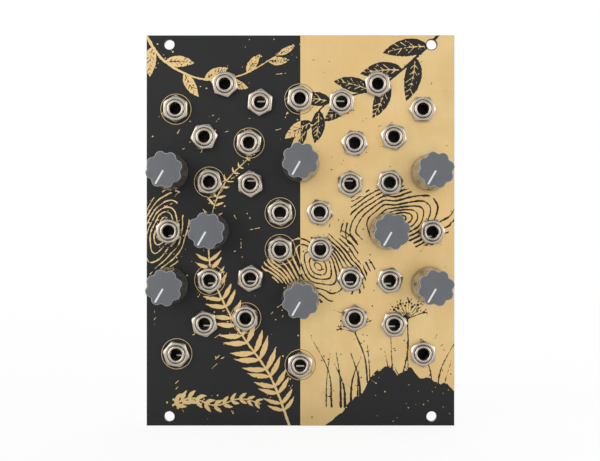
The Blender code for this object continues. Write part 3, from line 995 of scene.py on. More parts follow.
    def garland(self, spine: Points, pairs: int, length: float) -> None:
        """Draws a waving stem with pairs of small leaves, and a berry between one pair and the next.

        Args:
            spine: A few points of the stem.
            pairs: How many pairs there are.
            length: A leaf's length.
        """
        line = bent(spine, 90)
        self.sheet.stroke(line, np.linspace(0.34, 0.16, len(line)))
        for number in range(pairs):
            at = int((0.04 + 0.9 * number / (pairs - 1)) * (len(line) - 1))
            heading = self.heading_at(line, at)
            size = length * (1 - 0.35 * number / pairs)
            for side in (-1, 1):
                self.leaf(line[at], heading + side * math.radians(52), size, size * 0.36, -side * 0.6)
                lean = heading + side * math.radians(100)
                berry = line[at] + 0.42 * size * towards(lean)
                self.sheet.dot(berry - 0.5 * size * towards(heading), 0.36)

    def scratches(self, low: Point, high: Point, count: int, length: float) -> None:
        """Strews short slanting strokes over an area, in loose clusters."""
        for _ in range(count):
            place = self.chance.uniform(low, high)
            if self.noise.at(place[0] / 7, place[1] / 7) < 0:
                continue
            lean = math.radians(self.chance.normal(38, 22))
            far = length * self.chance.uniform(0.3, 1.0)
            end = place + far * towards(lean)
            self.sheet.stroke([place, end], [self.chance.uniform(0.05, 0.13), 0.03], reach=0.5)

    def seed_head(self, foot: Point, heading: float, length: float, rays: int, reach: float) -> None:
        """Draws a stem with a fan of rays, each with a seed and two smaller ones.

        Args:
            foot: Where the stem starts.
            heading: Which way it runs, in radians.
            length: Its length.
            rays: How many rays there are.
            reach: How long they are.
        """
        tip = np.add(foot, length * towards(heading))
        middle = ((foot[0] + tip[0]) / 2 + 1.2, (foot[1] + tip[1]) / 2)
        self.sheet.stroke(bent([foot, middle, tip], 14), 0.22)
        for number in range(rays):
            lean = heading + math.radians(-62 + 124 * number / (rays - 1))
            far = reach * (0.86 + 0.14 * math.cos(3 * number))
            end = tip + far * towards(lean)
            self.sheet.stroke([tip, end], [0.16, 0.09])
            self.sheet.dot(end, 0.42)
            for side in (-0.55, 0.55):
                small = end + 1.1 * towards(lean + side)
                self.sheet.stroke([end, small], 0.08)
                self.sheet.dot(small, 0.27)

    def ground(self) -> None:
        """Fills the rising ground at the foot of the right half."""
        area = self.sheet.window((-1, -65), (51, -40), 0)
        across, up = self.sheet.grid(area)
        slope = np.clip((across - 4) / 21, 0, 1)
        rise = -66.5 + 16.5 * slope * (1 + 0.22 * np.sin((across - 18) / 8.5))
        self.sheet.ink(area, up - rise - 1.8 * slope**0.5 * self.noise.layered(across / 4, up / 9, 3))

    def draw(self) -> None:
        """Draws every motif."""
        self.branch([(47, 66), (37, 56), (25, 47), (9, 42), (2, 33)], 9, 15, 5.8)
        self.branch([(-52, 66), (-45, 56), (-33, 50), (-20, 51), (-7, 58)], 7, 10, 3.8)
        self.fern([(-3, -66), (-10, -48), (-22, -30), (-30, -10), (-27, 12), (-14, 27)], 10.5, 2.3, 30)
        self.ground()
        self.reeds(9, 49, -58, 22, 24)
        self.wood_rings((33, 4), (19, 9.5), 1.25, 0.26, 0.35)
        self.wood_rings((-46, -2), (9, 15), 1.3, 0.17, 1.2)
        self.wood_rings((6, -12), (17, 11), 1.3, 0.25, -0.8)
        self.seed_head((22, -50), math.radians(104), 17, 9, 5.2)
        self.seed_head((33, -50), math.radians(84), 21, 9, 5.8)
        self.garland([(-42, -57.5), (-36, -55.2), (-28, -57.6), (-20, -55.4), (-13, -57)], 11, 4.0)
        self.scratches((-49, -62), (-2, 62), 150, 3.2)
        self.scratches((2, -48), (49, 62), 60, 2.2)

    def roughen(self, specks: int = 2600) -> None:
        """Makes the edges ragged, and strews specks of ink and of bare ground near them."""
        sheet = self.sheet
        across, up = np.meshgrid(sheet.columns, sheet.rows)
        sheet.field += 0.10 * self.noise.layered(across / 0.7, up / 0.7, 2)
        for _ in range(specks):
            place = self.chance.uniform((-50, -64), (50, 64))
            row = np.searchsorted(sheet.rows, place[1]) - 1
            column = np.searchsorted(sheet.columns, place[0]) - 1
            away = sheet.field[row, column]
            size = 0.06 + 0.22 * self.chance.random() ** 2
            draw = self.chance.random()
            if away > 0 and draw < 0.05 + 0.75 * math.exp(-away / 0.9):
                sheet.dot(place, size)
            elif away <= 0 and draw < 0.55:
                sheet.dot(place, size * 0.8, True)


class Half(Enum):
    """The two halves of the panel, and the sign of X on each."""

    LEFT = -1
    RIGHT = 1


@dataclass
class PanelFace:
    """The panel's coat and the bare gold of its printed design.

    Attributes:
        width: The panel's width.
        height: Its height.
        front: How far forward its face lies.
        film: How thick the gold stands on it.
        root: How deep the gold's underside lies in it.
        rim: How far the gold stays from the panel's edges.
        jack_clear: The radius that is kept free round each jack.
        pot_clear: The radius that is kept free round each potentiometer.
        rail_clear: The radius that is kept free round each rail hole.
        rail_hole: Where a rail hole lies, right and up from the centre.
        mark_radius: The radius of the thin ring round some jacks.
        mark_half: Half that ring's line width.
        marked_jacks: The jacks with such a ring.
    """

    width: float = 101.3 * MM
    height: float = 128.5 * MM
    front: float = 1.6 * MM
    film: float = 0.035 * MM
    root: float = 0.01 * MM
    rim: float = 0.06 * MM
    jack_clear: float = 3.4 * MM
    pot_clear: float = 3.9 * MM
    rail_clear: float = 1.95 * MM
    rail_hole: Point = (43.18 * MM, 61.25 * MM)
    mark_radius: float = 5.0 * MM
    mark_half: float = 0.075 * MM
    marked_jacks: tuple[int, ...] = (5, 6, 10, 12, 16, 20, 22, 26, 30, 32)

    def gold_field(self, jacks: Points, knobs: Points) -> Drawing:
        """Draws the design and swaps ink and ground on the right half.

        Args:
            jacks: Where the jacks stand.
            knobs: Where the knobs stand.

        Returns:
            The sheet, whose field is above zero where gold shows.
        """
        design = GardenPrint(self.width / MM, self.height / MM)
        design.draw()
        design.roughen()
        sheet = design.sheet
        for number in self.marked_jacks:
            place = [at / MM for at in jacks[number - 1]]
            if place[0] < self.mark_radius / MM:
                sheet.ring(place, self.mark_radius / MM, self.mark_half / MM)
        across, up = np.meshgrid(sheet.columns, sheet.rows)
        sheet.field = np.where(across < 0, -sheet.field, sheet.field)
        beyond = np.maximum(abs(across) - self.width / MM / 2, abs(up) - self.height / MM / 2)
        sheet.field = np.minimum(sheet.field, -(beyond + self.rim / MM))
        rails = [(x * self.rail_hole[0], z * self.rail_hole[1]) for x in (-1, 1) for z in (-1, 1)]
        groups = ((jacks, self.jack_clear), (knobs, self.pot_clear), (rails, self.rail_clear))
        for places, clear in groups:
            for place in places:
                area = sheet.window([at / MM - 6 for at in place], [at / MM + 6 for at in place], 0)
                x, z = sheet.grid(area)
                away = np.hypot(x - place[0] / MM, z - place[1] / MM) - clear / MM
                sheet.field[area] = np.minimum(sheet.field[area], away)
        return sheet

    def film_mesh(self, name: str, sheet: Drawing, half: Half) -> Mesh:
        """Makes the gold of one half as a thin solid.

        Args:
            name: The mesh's name.
            sheet: The design.
            half: Which half.

        Returns:
            The gold, its underside a little sunk into the coat.
        """
        beyond, least_area = -0.05, 0.02
        gold = np.where(half.value * sheet.columns[None, :] > 0, sheet.field, beyond)
        loops = [thinned(loop) for loop in outlines(gold, sheet) if area_of(loop) > least_area]
        points, faces = filled(loops, gold, sheet)
        points = points * MM
        count = len(points)
        low, high = self.front - self.root, self.front + self.film
        levels = [np.c_[points, np.full(count, level)] for level in (low, high)]
        walls = walls_of(faces, count)
        solid = [*(faces[:, ::-1]).tolist(), *(faces + count).tolist(), *walls]
        return mesh_from(name, np.vstack(levels), solid, 40)

    def build(self, panel: bpy.types.Object, jacks: Points, knobs: Points) -> None:
        """Dresses the panel and lays the gold on it.

        Args:
            panel: The panel's solid.
            jacks: Where the jacks stand.
            knobs: Where the knobs stand.
        """
        dress(panel, PANEL_COAT)
        sheet = self.gold_field(jacks, knobs)
        for half, name in ((Half.LEFT, "gold_line_work"), (Half.RIGHT, "gold_ground")):
            set_piece(name, self.film_mesh(name, sheet, half), PANEL_GOLD)


def area_of(loop: Array) -> float:
    """Returns the area inside a closed line."""
    after = np.roll(loop, -1, axis=0)
    return abs(np.sum(loop[:, 0] * after[:, 1] - after[:, 0] * loop[:, 1])) / 2


def outlines(field: Array, sheet: Drawing) -> list[Array]:
    """Follows a field's zero line.

    Args:
        field: The field, below zero all round its rim.
        sheet: The sheet that gives the places of its points.

    Returns:
        The closed lines, each as rows of (right, up).
    """
    inside = field > 0
    columns, rows = sheet.columns, sheet.rows
    row, column = np.nonzero(inside[:, 1:] != inside[:, :-1])
    share = field[row, column] / (field[row, column] - field[row, column + 1])
    level_cuts = np.c_[columns[column] + share * (columns[column + 1] - columns[column]), rows[row]]
    across = np.full((inside.shape[0], inside.shape[1] - 1), -1)
    across[row, column] = np.arange(len(row))
    held = len(row)
    row, column = np.nonzero(inside[1:] != inside[:-1])
    share = field[row, column] / (field[row, column] - field[row + 1, column])
    upright_cuts = np.c_[columns[column], rows[row] + share * (rows[row + 1] - rows[row])]
    up = np.full((inside.shape[0] - 1, inside.shape[1]), -1)
    up[row, column] = held + np.arange(len(row))
    points = np.vstack([level_cuts, upright_cuts])
    sides = (across[:-1], up[:, 1:], across[1:], up[:, :-1])
    edges = np.stack(sides, axis=-1)
    count = (edges >= 0).sum(axis=-1)
    pair = edges[count == 2]
    links = [pair[pair >= 0].reshape(-1, 2)]
    bottom, right, top, left = edges[count == 4].T
    corner = inside[:-1, :-1][count == 4]
    links.append(np.c_[bottom, np.where(corner, left, right)])
    links.append(np.c_[top, np.where(corner, right, left)])
    links = np.vstack(links)
    ends, others = links.T.ravel(), links[:, ::-1].T.ravel()
    partners = others[np.argsort(ends, kind="stable")].reshape(-1, 2).tolist()
    seen = [False] * len(points)
    loops = []
    for first in range(len(points)):
        loop, before, here = [], -1, first
        while not seen[here]:
            seen[here] = True
            loop.append(here)
            near, far = partners[here]
            before, here = here, near if near != before else far
        if loop:
            loops.append(points[loop])
    return loops


def thinned(loop: Array, tolerance: float = 0.012, passes: int = 7) -> Array:
    """Returns a closed line without the points that lie close to the line past them."""
    for turn in range(passes):
        if len(loop) < 8:
            break
        before, after = np.roll(loop, 1, axis=0), np.roll(loop, -1, axis=0)
        run, step = after - before, loop - before
        away = np.abs(run[:, 0] * step[:, 1] - run[:, 1] * step[:, 0]) / (np.hypot(*run.T) + 1e-12)
        drop = (away < tolerance) & (np.arange(len(loop)) % 2 == turn % 2)
        loop = loop[~drop]
    return loop


def filled(loops: Sequence[Array], field: Array, sheet: Drawing) -> tuple[Array, Array]:
    """Fills closed lines with triangles where the field is above zero.

    Args:
        loops: The closed lines.
        field: The field that they were drawn from.
        sheet: The sheet that gives the places of its points.

    Returns:
        The points as rows of (right, up), and the triangles.
    """
    starts = np.cumsum([0, *map(len, loops)])
    edges = []
    for first, end in zip(starts, starts[1:]):
        edges += [(first + at, first + (at + 1) % (end - first)) for at in range(end - first)]
    found = delaunay_2d_cdt([Vector(point) for point in np.vstack(loops)], edges, [], 0, 1e-7, False)
    points, faces = np.array([tuple(point) for point in found[0]]), np.array(found[2])
    middle = points[faces].mean(axis=1)
    column = (middle[:, 0] - sheet.columns[0]) / sheet.step
    row = (middle[:, 1] - sheet.rows[0]) / sheet.step
    left, below = column.astype(int), row.astype(int)
    across, up = column - left, row - below
    low = field[below, left] * (1 - across) + field[below, left + 1] * across
    high = field[below + 1, left] * (1 - across) + field[below + 1, left + 1] * across
    return points, faces[low * (1 - up) + high * up > 0]


def walls_of(faces: Array, count: int) -> list[tuple[int, int, int, int]]:
    """Returns the walls round flat triangles, from their own level to a copy that comes count later."""
    sides = np.vstack([faces[:, [0, 1]], faces[:, [1, 2]], faces[:, [2, 0]]])
    held = {tuple(side) for side in sides.tolist()}
    return [(a, b, b + count, a + count) for a, b in sorted(held) if (b, a) not in held]


# The jacks


class LongSide(Enum):
    """Which way the long side of a jack's housing lies, in quarter turns anticlockwise from upwards."""

    UP = 0
    LEFT = 1
    DOWN = 2
    RIGHT = 3


def hexagon(angles: Array, across_flats: float, sharpness: float = 46.0) -> Array:
    """Returns the radius of a hexagon with softened corners at each angle."""
    flats = np.cos(angles[None, :] - np.radians(np.arange(30, 390, 60))[:, None])
    return across_flats / 2 / (np.maximum(flats, 0) ** sharpness).sum(axis=0) ** (1 / sharpness)


@dataclass(frozen=True)
class HexNut:
    """A hexagon nut with a chamfered front and a countersunk thread.

    Attributes:
        across_flats: Its size across the flats.
        thickness: Its thickness.
        seat: How far forward its rear face lies.
        bore: The diameter of its thread.
        sink: How far the countersink widens the thread at each side.
        top_share: The front disc's size, as a share of the size across the flats.
        slope: How far the chamfer drops for each length outwards.
        edge: The radius of its rounded edges.
        sides: How many points go round it.
    """

    across_flats: float
    bore: float
    thickness: float = 2.0 * MM
    seat: float = 1.9 * MM
    sink: float = 0.19 * MM
    top_share: float = 0.93
    slope: float = 0.58
    edge: float = 0.08 * MM
    sides: int = 96

    def mesh(self, name: str) -> Mesh:
        """Returns the nut's mesh, with a corner to the right."""
        angles = math.tau * np.arange(self.sides) / self.sides
        rim = hexagon(angles, self.across_flats)
        top, bore = self.seat + self.thickness, self.bore / 2
        disc = self.top_share * self.across_flats / 2
        lip, edge = bore + self.sink, self.edge
        fall = (rim - disc) * self.slope
        rings = [
            (bore, self.seat + self.sink),
            (bore, top - self.sink * 1.15),
            (lip - edge * 0.7, top - edge * 0.8),
            (lip, top - edge * 0.2),
            (lip + edge, top),
            (disc - edge, top),
            (disc, top - edge * 0.15),
            (disc + edge, top - edge * 0.7),
            (rim - edge * 1.2, top - fall + edge * 0.4),
            (rim - edge * 0.4, top - fall - edge * 0.3),
            (rim, top - fall - edge * 1.4),
            (rim, self.seat + edge * 2),
            (rim - edge, self.seat + edge * 0.5),
            (rim - edge * 3, self.seat),
            (lip, self.seat),
        ]
        return turned_mesh(name, rings, self.sides, crease=38)


@dataclass
class JackSockets:
    """The jack sockets: a housing, a barrel, a contact spring and a nut each.

    Attributes:
        ring_point: How far to the right of a jack's axis its mount point lies.
        bore: The barrel's bore.
        barrel: The barrel's outer diameter at the thread.
        barrel_front: How far forward the barrel ends.
        barrel_rear: Where it ends inside the housing.
        ring_outer: The diameter of its smooth end ring.
        width: The housing's width.
        short_reach: How far the housing reaches to its short side.
        long_reach: How far it reaches to its long side.
        front: How far forward its front lies.
        rear: Where its rear lies.
        corner: How far its corners are cut.
        chamber: The diameter of the room behind the bore.
        chamber_front: Where that room starts.
        floor: Where it ends.
        spring_width: The contact spring's width.
        spring_thickness: Its thickness.
        spring_off: How far from the axis it lies.
        spring_front: Where its front edge lies.
        nut: The nut.
        nut_turns: How far each nut is turned, in degrees from a corner that points right.
    """

    ring_point: float = 2.57 * MM
    bore: float = 3.8 * MM
    barrel: float = 5.9 * MM
    barrel_front: float = 4.2 * MM
    barrel_rear: float = -1.2 * MM
    ring_outer: float = 5.76 * MM
    width: float = 9.0 * MM
    short_reach: float = 4.5 * MM
    long_reach: float = 6.0 * MM
    front: float = -0.3 * MM
    rear: float = -9.7 * MM
    corner: float = 1.0 * MM
    chamber: float = 5.2 * MM
    chamber_front: float = -2.4 * MM
    floor: float = -8.9 * MM
    spring_width: float = 2.7 * MM
    spring_thickness: float = 0.5 * MM
    spring_off: float = 1.5 * MM
    spring_front: float = -7.2 * MM
    nut: HexNut = HexNut(across_flats=7.9 * MM, bore=6.0 * MM)
    nut_turns: tuple[int, ...] = (
        43, 40, 25, 24, 22, 30, 0, 6, 45, 25, 50, 45, 10, 34, 30, 38,
        46, 38, 6, 32, 0, 31, 13, 24, 6, 30, 28, 40, 6, 49, 30, 28,
    )

    def long_side(self, number: int) -> LongSide:
        """Returns which way the long side of one jack's housing lies."""
        if number in (3, 4, 14, 15, 20, 21, 26, 27, 31):
            return LongSide.DOWN
        return {10: LongSide.LEFT, 11: LongSide.RIGHT}.get(number, LongSide.UP)

    def places(self, record: dict) -> list[Point]:
        """Returns where the jacks' axes stand, from the mount at each jack's mouth."""
        mouths = [mount for mount in record["mounts"] if mount["name"].startswith("jack_mouth")]
        return [(at["pos_m"][0] - self.ring_point, at["pos_m"][2]) for at in mouths]

    def barrel_mesh(self) -> Mesh:
        """Returns the barrel: a threaded tube with a rounded end ring and a flared mouth."""
        bore, ring, outer = self.bore / 2, self.ring_outer / 2, self.barrel / 2
        front, flare, shoulder = self.barrel_front, 0.42 * MM, 0.5 * MM
        rings = [
            (bore, self.barrel_rear),
            *arc((bore + flare, front - flare), flare, 180, 90, 5),
            *arc((ring - shoulder, front - shoulder), shoulder, 90, 0, 6),
            (ring, front - 0.75 * MM),
            (outer, front - 0.95 * MM),
            (outer, self.barrel_rear),
        ]
        return turned_mesh("jack_barrel", rings, 64, crease=40)

    def housing_mesh(self) -> Mesh:
        """Returns the housing, with its room for the plug and its moulded recesses."""
        half, cut_back = self.width / 2, self.corner
        low, high = -self.short_reach, self.long_reach
        outline = [
            (half - cut_back, low), (half, low + cut_back),
            (half, high - cut_back), (half - cut_back, high),
            (cut_back - half, high), (-half, high - cut_back),
            (-half, low + cut_back), (cut_back - half, low),
        ]
        form = bmesh.new()
        extrusion(form, outline, self.rear, self.front)
        rounded(form, form.edges[:], 0.12 * MM)
        body = mesh_of("jack_housing", form)
        over, play = 1.0 * MM, 0.02 * MM
        rings = [
            (self.bore / 2 + play, self.front + over),
            (self.bore / 2 + play, self.chamber_front),
            (self.chamber / 2, self.chamber_front - 0.2 * MM),
            (self.chamber / 2, self.floor),
        ]
        body = cut(body, turned_mesh("plug_room", rings, 40, closed=False))
        recess = bmesh.new()
        for side in (-1, 1):
            block(recess, (0.6 * MM, 3.2 * MM, 5.4 * MM), (side * half, 1.2 * MM, -5.6 * MM), 0.1 * MM)
        block(recess, (4.6 * MM, 0.6 * MM, 2.2 * MM), (0, high, -8.0 * MM), 0.1 * MM)
        return cut(body, mesh_of("jack_recess", recess))

    def contact_mesh(self) -> Mesh:
        """Returns the contact spring, which bends away from the plug at its rear."""
        off, front = -self.spring_off, self.spring_front
        path = [
            (off, front),
            (off - 0.06 * MM, front - 0.6 * MM),
            (off - 0.4 * MM, front - 0.95 * MM),
            (off - 0.9 * MM, front - 1.05 * MM),
        ]
        form = bmesh.new()
        strip(form, path, self.spring_thickness, self.spring_width)
        return mesh_of("jack_contact", form)

    def build(self, places: Points) -> None:
        """Sets every jack in the frame.

        Args:
            places: Where the jacks stand.
        """
        barrel, housing, contact = self.barrel_mesh(), self.housing_mesh(), self.contact_mesh()
        nut = self.nut.mesh("jack_nut")
        for number, (place, turn) in enumerate(zip(places, self.nut_turns), 1):
            node = f"jack_{number:02d}"
            quarter = self.long_side(number).value * math.pi / 2
            parts = (
                ("housing", housing, JACK_PLASTIC, "jack_plastic", quarter),
                ("barrel", barrel, NICKEL, "jack_nickel", 0.0),
                ("contact", contact, CONTACT, "jack_nickel", quarter),
                ("nut", nut, NICKEL, "jack_nickel", math.radians(turn)),
            )
            for part, mesh, finish, slot, turned in parts:
                name = f"{node}_{part}"
                set_piece(name, mesh, finish, centre=place, turn=turned, stands_for=[node])


def track(form: Form, path: Points, width: float, low: float, high: float) -> None:
    """Adds a flat track with mitred corners to a form.

    Args:
        form: The form, drawn in front view.
        path: The track's middle line, as (right, up).
        width: Its width.
        low: Where its rear face lies.
        high: Where its front face lies.
    """
    line = np.asarray([point for point, last in zip(path, [None, *path]) if point != last], float)
    runs = np.diff(line, axis=0)
    runs /= np.hypot(*runs.T)[:, None]
    ways = np.vstack([runs[:1], runs[:-1] + runs[1:], runs[-1:]])
    ways /= np.hypot(*ways.T)[:, None]
    reach = width / 2 / np.maximum((ways * np.vstack([runs[:1], runs])).sum(axis=1), 0.3)
    across = np.stack([-ways[:, 1], ways[:, 0]], axis=1) * reach[:, None]
    extrusion(form, [*(line - across), *(line + across)[::-1]], low, high)


def strip(form: Form, path: Points, thickness: float, width: float, centre: float = 0.0) -> None:
    """Adds a bent strip to a form.

    Args:
        form: The form, drawn in front view.
        path: The strip's middle line, as (up, forward).
        thickness: Its thickness.
        width: Its width from left to right.
        centre: Where the middle of that width lies.
    """
    line = np.asarray(path, float)
    runs = np.gradient(line, axis=0)
    across = np.stack([-runs[:, 1], runs[:, 0]], axis=1) / np.hypot(*runs.T)[:, None] * thickness / 2
    outline = [*(line + across), *(line - across)[::-1]]
    ends = (centre - width / 2, centre + width / 2)
    rows = [[form.verts.new((end, up, forward)) for up, forward in outline] for end in ends]
    count = len(outline)
    for at in range(count):
        after = (at + 1) % count
        form.faces.new((rows[0][at], rows[0][after], rows[1][after], rows[1][at]))
    for at in range(len(line) - 1):
        for row in rows:
            form.faces.new((row[at], row[at + 1], row[count - 2 - at], row[count - 1 - at]))


# The controls


@dataclass
class Controls:
    """The potentiometers with their nuts, and the knobs that turn on them.

    Attributes:
        case_width: The potentiometer's width.
        case_height: Its height.
        case_front: Where its front plate lies.
        case_rear: Where its rear lies.
        plate: How thick the front plate is.
        bush: The bush's diameter.
        bush_front: How far forward the bush ends.
        shaft_room: The bush's bore.
        nut: The nut.
        skirt: The diameter of the knob's skirt.
        skirt_height: Its height.
        base: How far forward the knob starts.
        top: How far forward its top lies.
        grip: The diameter over the lobes at the top.
        flute: How deep a flute is.
        scallop: How much narrower the hollows are than the lobes; at 1 both are as wide.
        run_out: How far up the flutes take to reach their depth.
        top_edge: The radius of the top's rounded edge.
        lobes: How many lobes there are.
        lobe_points: How many points the rim has for each lobe.
        bore: The knob's bore.
        bore_end: Where the bore ends.
        pointer_width: The pointer's width.
        pointer_depth: How deep its groove is.
        pointer_inner: Where the pointer starts, from the axis.
        pointer_outer: Where it ends.
        rest_turn: How far a knob at its stop is turned from upright, anticlockwise.
    """

    case_width: float = 9.8 * MM
    case_height: float = 11.4 * MM
    case_front: float = -2.9 * MM
    case_rear: float = -9.7 * MM
    plate: float = 0.8 * MM
    bush: float = 6.9 * MM
    bush_front: float = 4.2 * MM
    shaft_room: float = 5.0 * MM
    nut: HexNut = HexNut(across_flats=10.0 * MM, bore=7.0 * MM)
    skirt: float = 12.2 * MM
    skirt_height: float = 0.6 * MM
    base: float = 4.2 * MM
    top: float = 19.4 * MM
    grip: float = 11.75 * MM
    flute: float = 0.78 * MM
    scallop: float = 1.7
    run_out: float = 7.0 * MM
    top_edge: float = 0.45 * MM
    lobes: int = 8
    lobe_points: int = 20
    bore: float = 6.6 * MM
    bore_end: float = 17.2 * MM
    pointer_width: float = 0.6 * MM
    pointer_depth: float = 0.3 * MM
    pointer_inner: float = 0.25 * MM
    pointer_outer: float = 5.3 * MM
    rest_turn: float = math.radians(150)

    def fluted(self, angles: Array, outer: float, depth: float) -> Array:
        """Returns the radius of a ring with broad lobes, one of which points up, and hollows."""
        swing = self.lobes * (angles - math.pi / 2)
        return outer - depth * ((1 - np.cos(swing)) / 2) ** self.scallop

    def cap_mesh(self) -> Mesh:
        """Returns the knob: a round skirt that runs up into a fluted grip, bored and grooved."""
        sides = self.lobes * self.lobe_points
        angles = math.tau * np.arange(sides) / sides
        skirt, shoulder = self.skirt / 2, self.base + self.skirt_height
        crown = self.grip / 2
        edge = 0.04 * MM
        rings: list[tuple[object, object]] = []
        for turn in np.linspace(0, 1, 6)[::-1] * math.pi / 2:
            radius = self.fluted(angles, crown - self.top_edge * (1 - math.cos(turn)), self.flute)
            rings.append((radius, self.top - self.top_edge * (1 - math.sin(turn))))
        wall = shoulder - self.top + self.top_edge
        for share in np.linspace(0, 1, 17)[1:]:
            ease = min(1.0, max(0.0, 1 - (1 - share) * -wall / self.run_out))
            outer = crown + (skirt - edge - crown) * share
            depth = self.flute * (1 - ease * ease * (3 - 2 * ease))
            rings.append((self.fluted(angles, outer, depth), self.top - self.top_edge + wall * share))
        rings += arc((skirt - edge, shoulder - edge), edge, 75, 0, 4)
        rings += arc((skirt - edge / 2, self.base + edge / 2), edge / 2, 0, -90, 3)
        counterbore = self.bush / 2 + 0.35 * MM
        rings += [
            (counterbore, self.base),
            (counterbore, self.base + 0.9 * MM),
            (self.bore / 2, self.base + 0.9 * MM),
            (self.bore / 2, self.bore_end),
        ]
        cap = turned_mesh("knob_cap", rings, sides, closed=False, crease=50)
        groove = bmesh.new()
        outline = self.pointer_outline(self.pointer_width / 2)
        extrusion(groove, outline, self.top - self.pointer_depth, self.top + 1.0 * MM)
        return cut(cap, mesh_of("pointer_groove", groove), 50)

    def pointer_outline(self, half: float) -> list[Point]:
        """Returns the pointer's outline, a bar with rounded ends that points up."""
        low, high = self.pointer_inner + half, self.pointer_outer - half
        return [*arc((0, high), half, 0, 180, 8), *arc((0, low), half, 180, 360, 8)]

    def pointer_mesh(self) -> Mesh:
        """Returns the white filling of the groove."""
        form = bmesh.new()
        outline = self.pointer_outline(self.pointer_width / 2 - 0.005 * MM)
        extrusion(form, outline, self.top - self.pointer_depth, self.top - 0.03 * MM)
        return mesh_of("knob_pointer", form)

    def case_mesh(self) -> Mesh:
        """Returns the potentiometer's moulded case, with the ledge for its terminals."""
        form = bmesh.new()
        front, rear = self.case_front - self.plate, self.case_rear
        size = (self.case_width - 0.8 * MM, self.case_height - 1.0 * MM, front - rear - 0.05 * MM)
        block(form, size, (0, 0, (front + rear) / 2), 0.3 * MM)
        ledge = (self.case_width - 2.4 * MM, 1.6 * MM, 1.6 * MM)
        block(form, ledge, (0, -self.case_height / 2 + 0.8 * MM, rear + 1.0 * MM), 0.15 * MM)
        return mesh_of("pot_case", form)

    def bracket_mesh(self) -> Mesh:
        """Returns the steel front plate with its folded ears."""
        form = bmesh.new()
        front = self.case_front
        width, height, plate = self.case_width, self.case_height, self.plate
        block(form, (width, height, plate), (0, 0, front - plate / 2), 0.12 * MM)
        for side in (-1, 1):
            ear = (0.4 * MM, 3.2 * MM, front - self.case_rear - 0.05 * MM)
            block(form, ear, (side * (width / 2 - 0.2 * MM), 0, (front + self.case_rear) / 2), 0.1 * MM)
        return mesh_of("pot_bracket", form)

    def bush_mesh(self) -> Mesh:
        """Returns the threaded bush."""
        outer, room, front = self.bush / 2, self.shaft_room / 2, self.bush_front
        rings = [
            (room, self.case_front + 0.02 * MM),
            (room, front - 0.2 * MM),
            (room + 0.2 * MM, front),
            (outer - 0.25 * MM, front),
            (outer, front - 0.25 * MM),
            (outer, self.case_front + 0.02 * MM),
        ]
        return turned_mesh("pot_bush", rings, 48)

    def build(self, nodes: dict, places: Points) -> None:
        """Sets every potentiometer, shaft and knob.

        Args:
            nodes: The frame's solids by name.
            places: Where the knobs stand.
        """
        fixed = (
            ("case", self.case_mesh(), POT_PLASTIC, "pot_case"),
            ("bracket", self.bracket_mesh(), POT_STEEL, "pot_case"),
            ("bush", self.bush_mesh(), NICKEL, "pot_case"),
            ("nut", self.nut.mesh("pot_nut"), NICKEL, "pot_case"),
        )
        cap, pointer = self.cap_mesh(), self.pointer_mesh()
        for mesh in (cap, pointer):
            mesh.transform(Matrix.Rotation(-self.rest_turn, 4, "Y"))
        for number, place in enumerate(places, 1):
            node, body = f"potentiometer_{number}", f"control_{number}"
            for part, mesh, finish, slot in fixed:
                set_piece(f"{node}_{part}", mesh, finish, centre=place, stands_for=[node])
            dress(nodes[f"shaft_{number}"], SHAFT_METAL)
            knob = f"knob_{number}"
            set_piece(f"{knob}_cap", cap, KNOB_GREY, body, place, stands_for=[knob])
            set_piece(f"{knob}_pointer", pointer, POINTER_WHITE, body, place)


# The circuit board


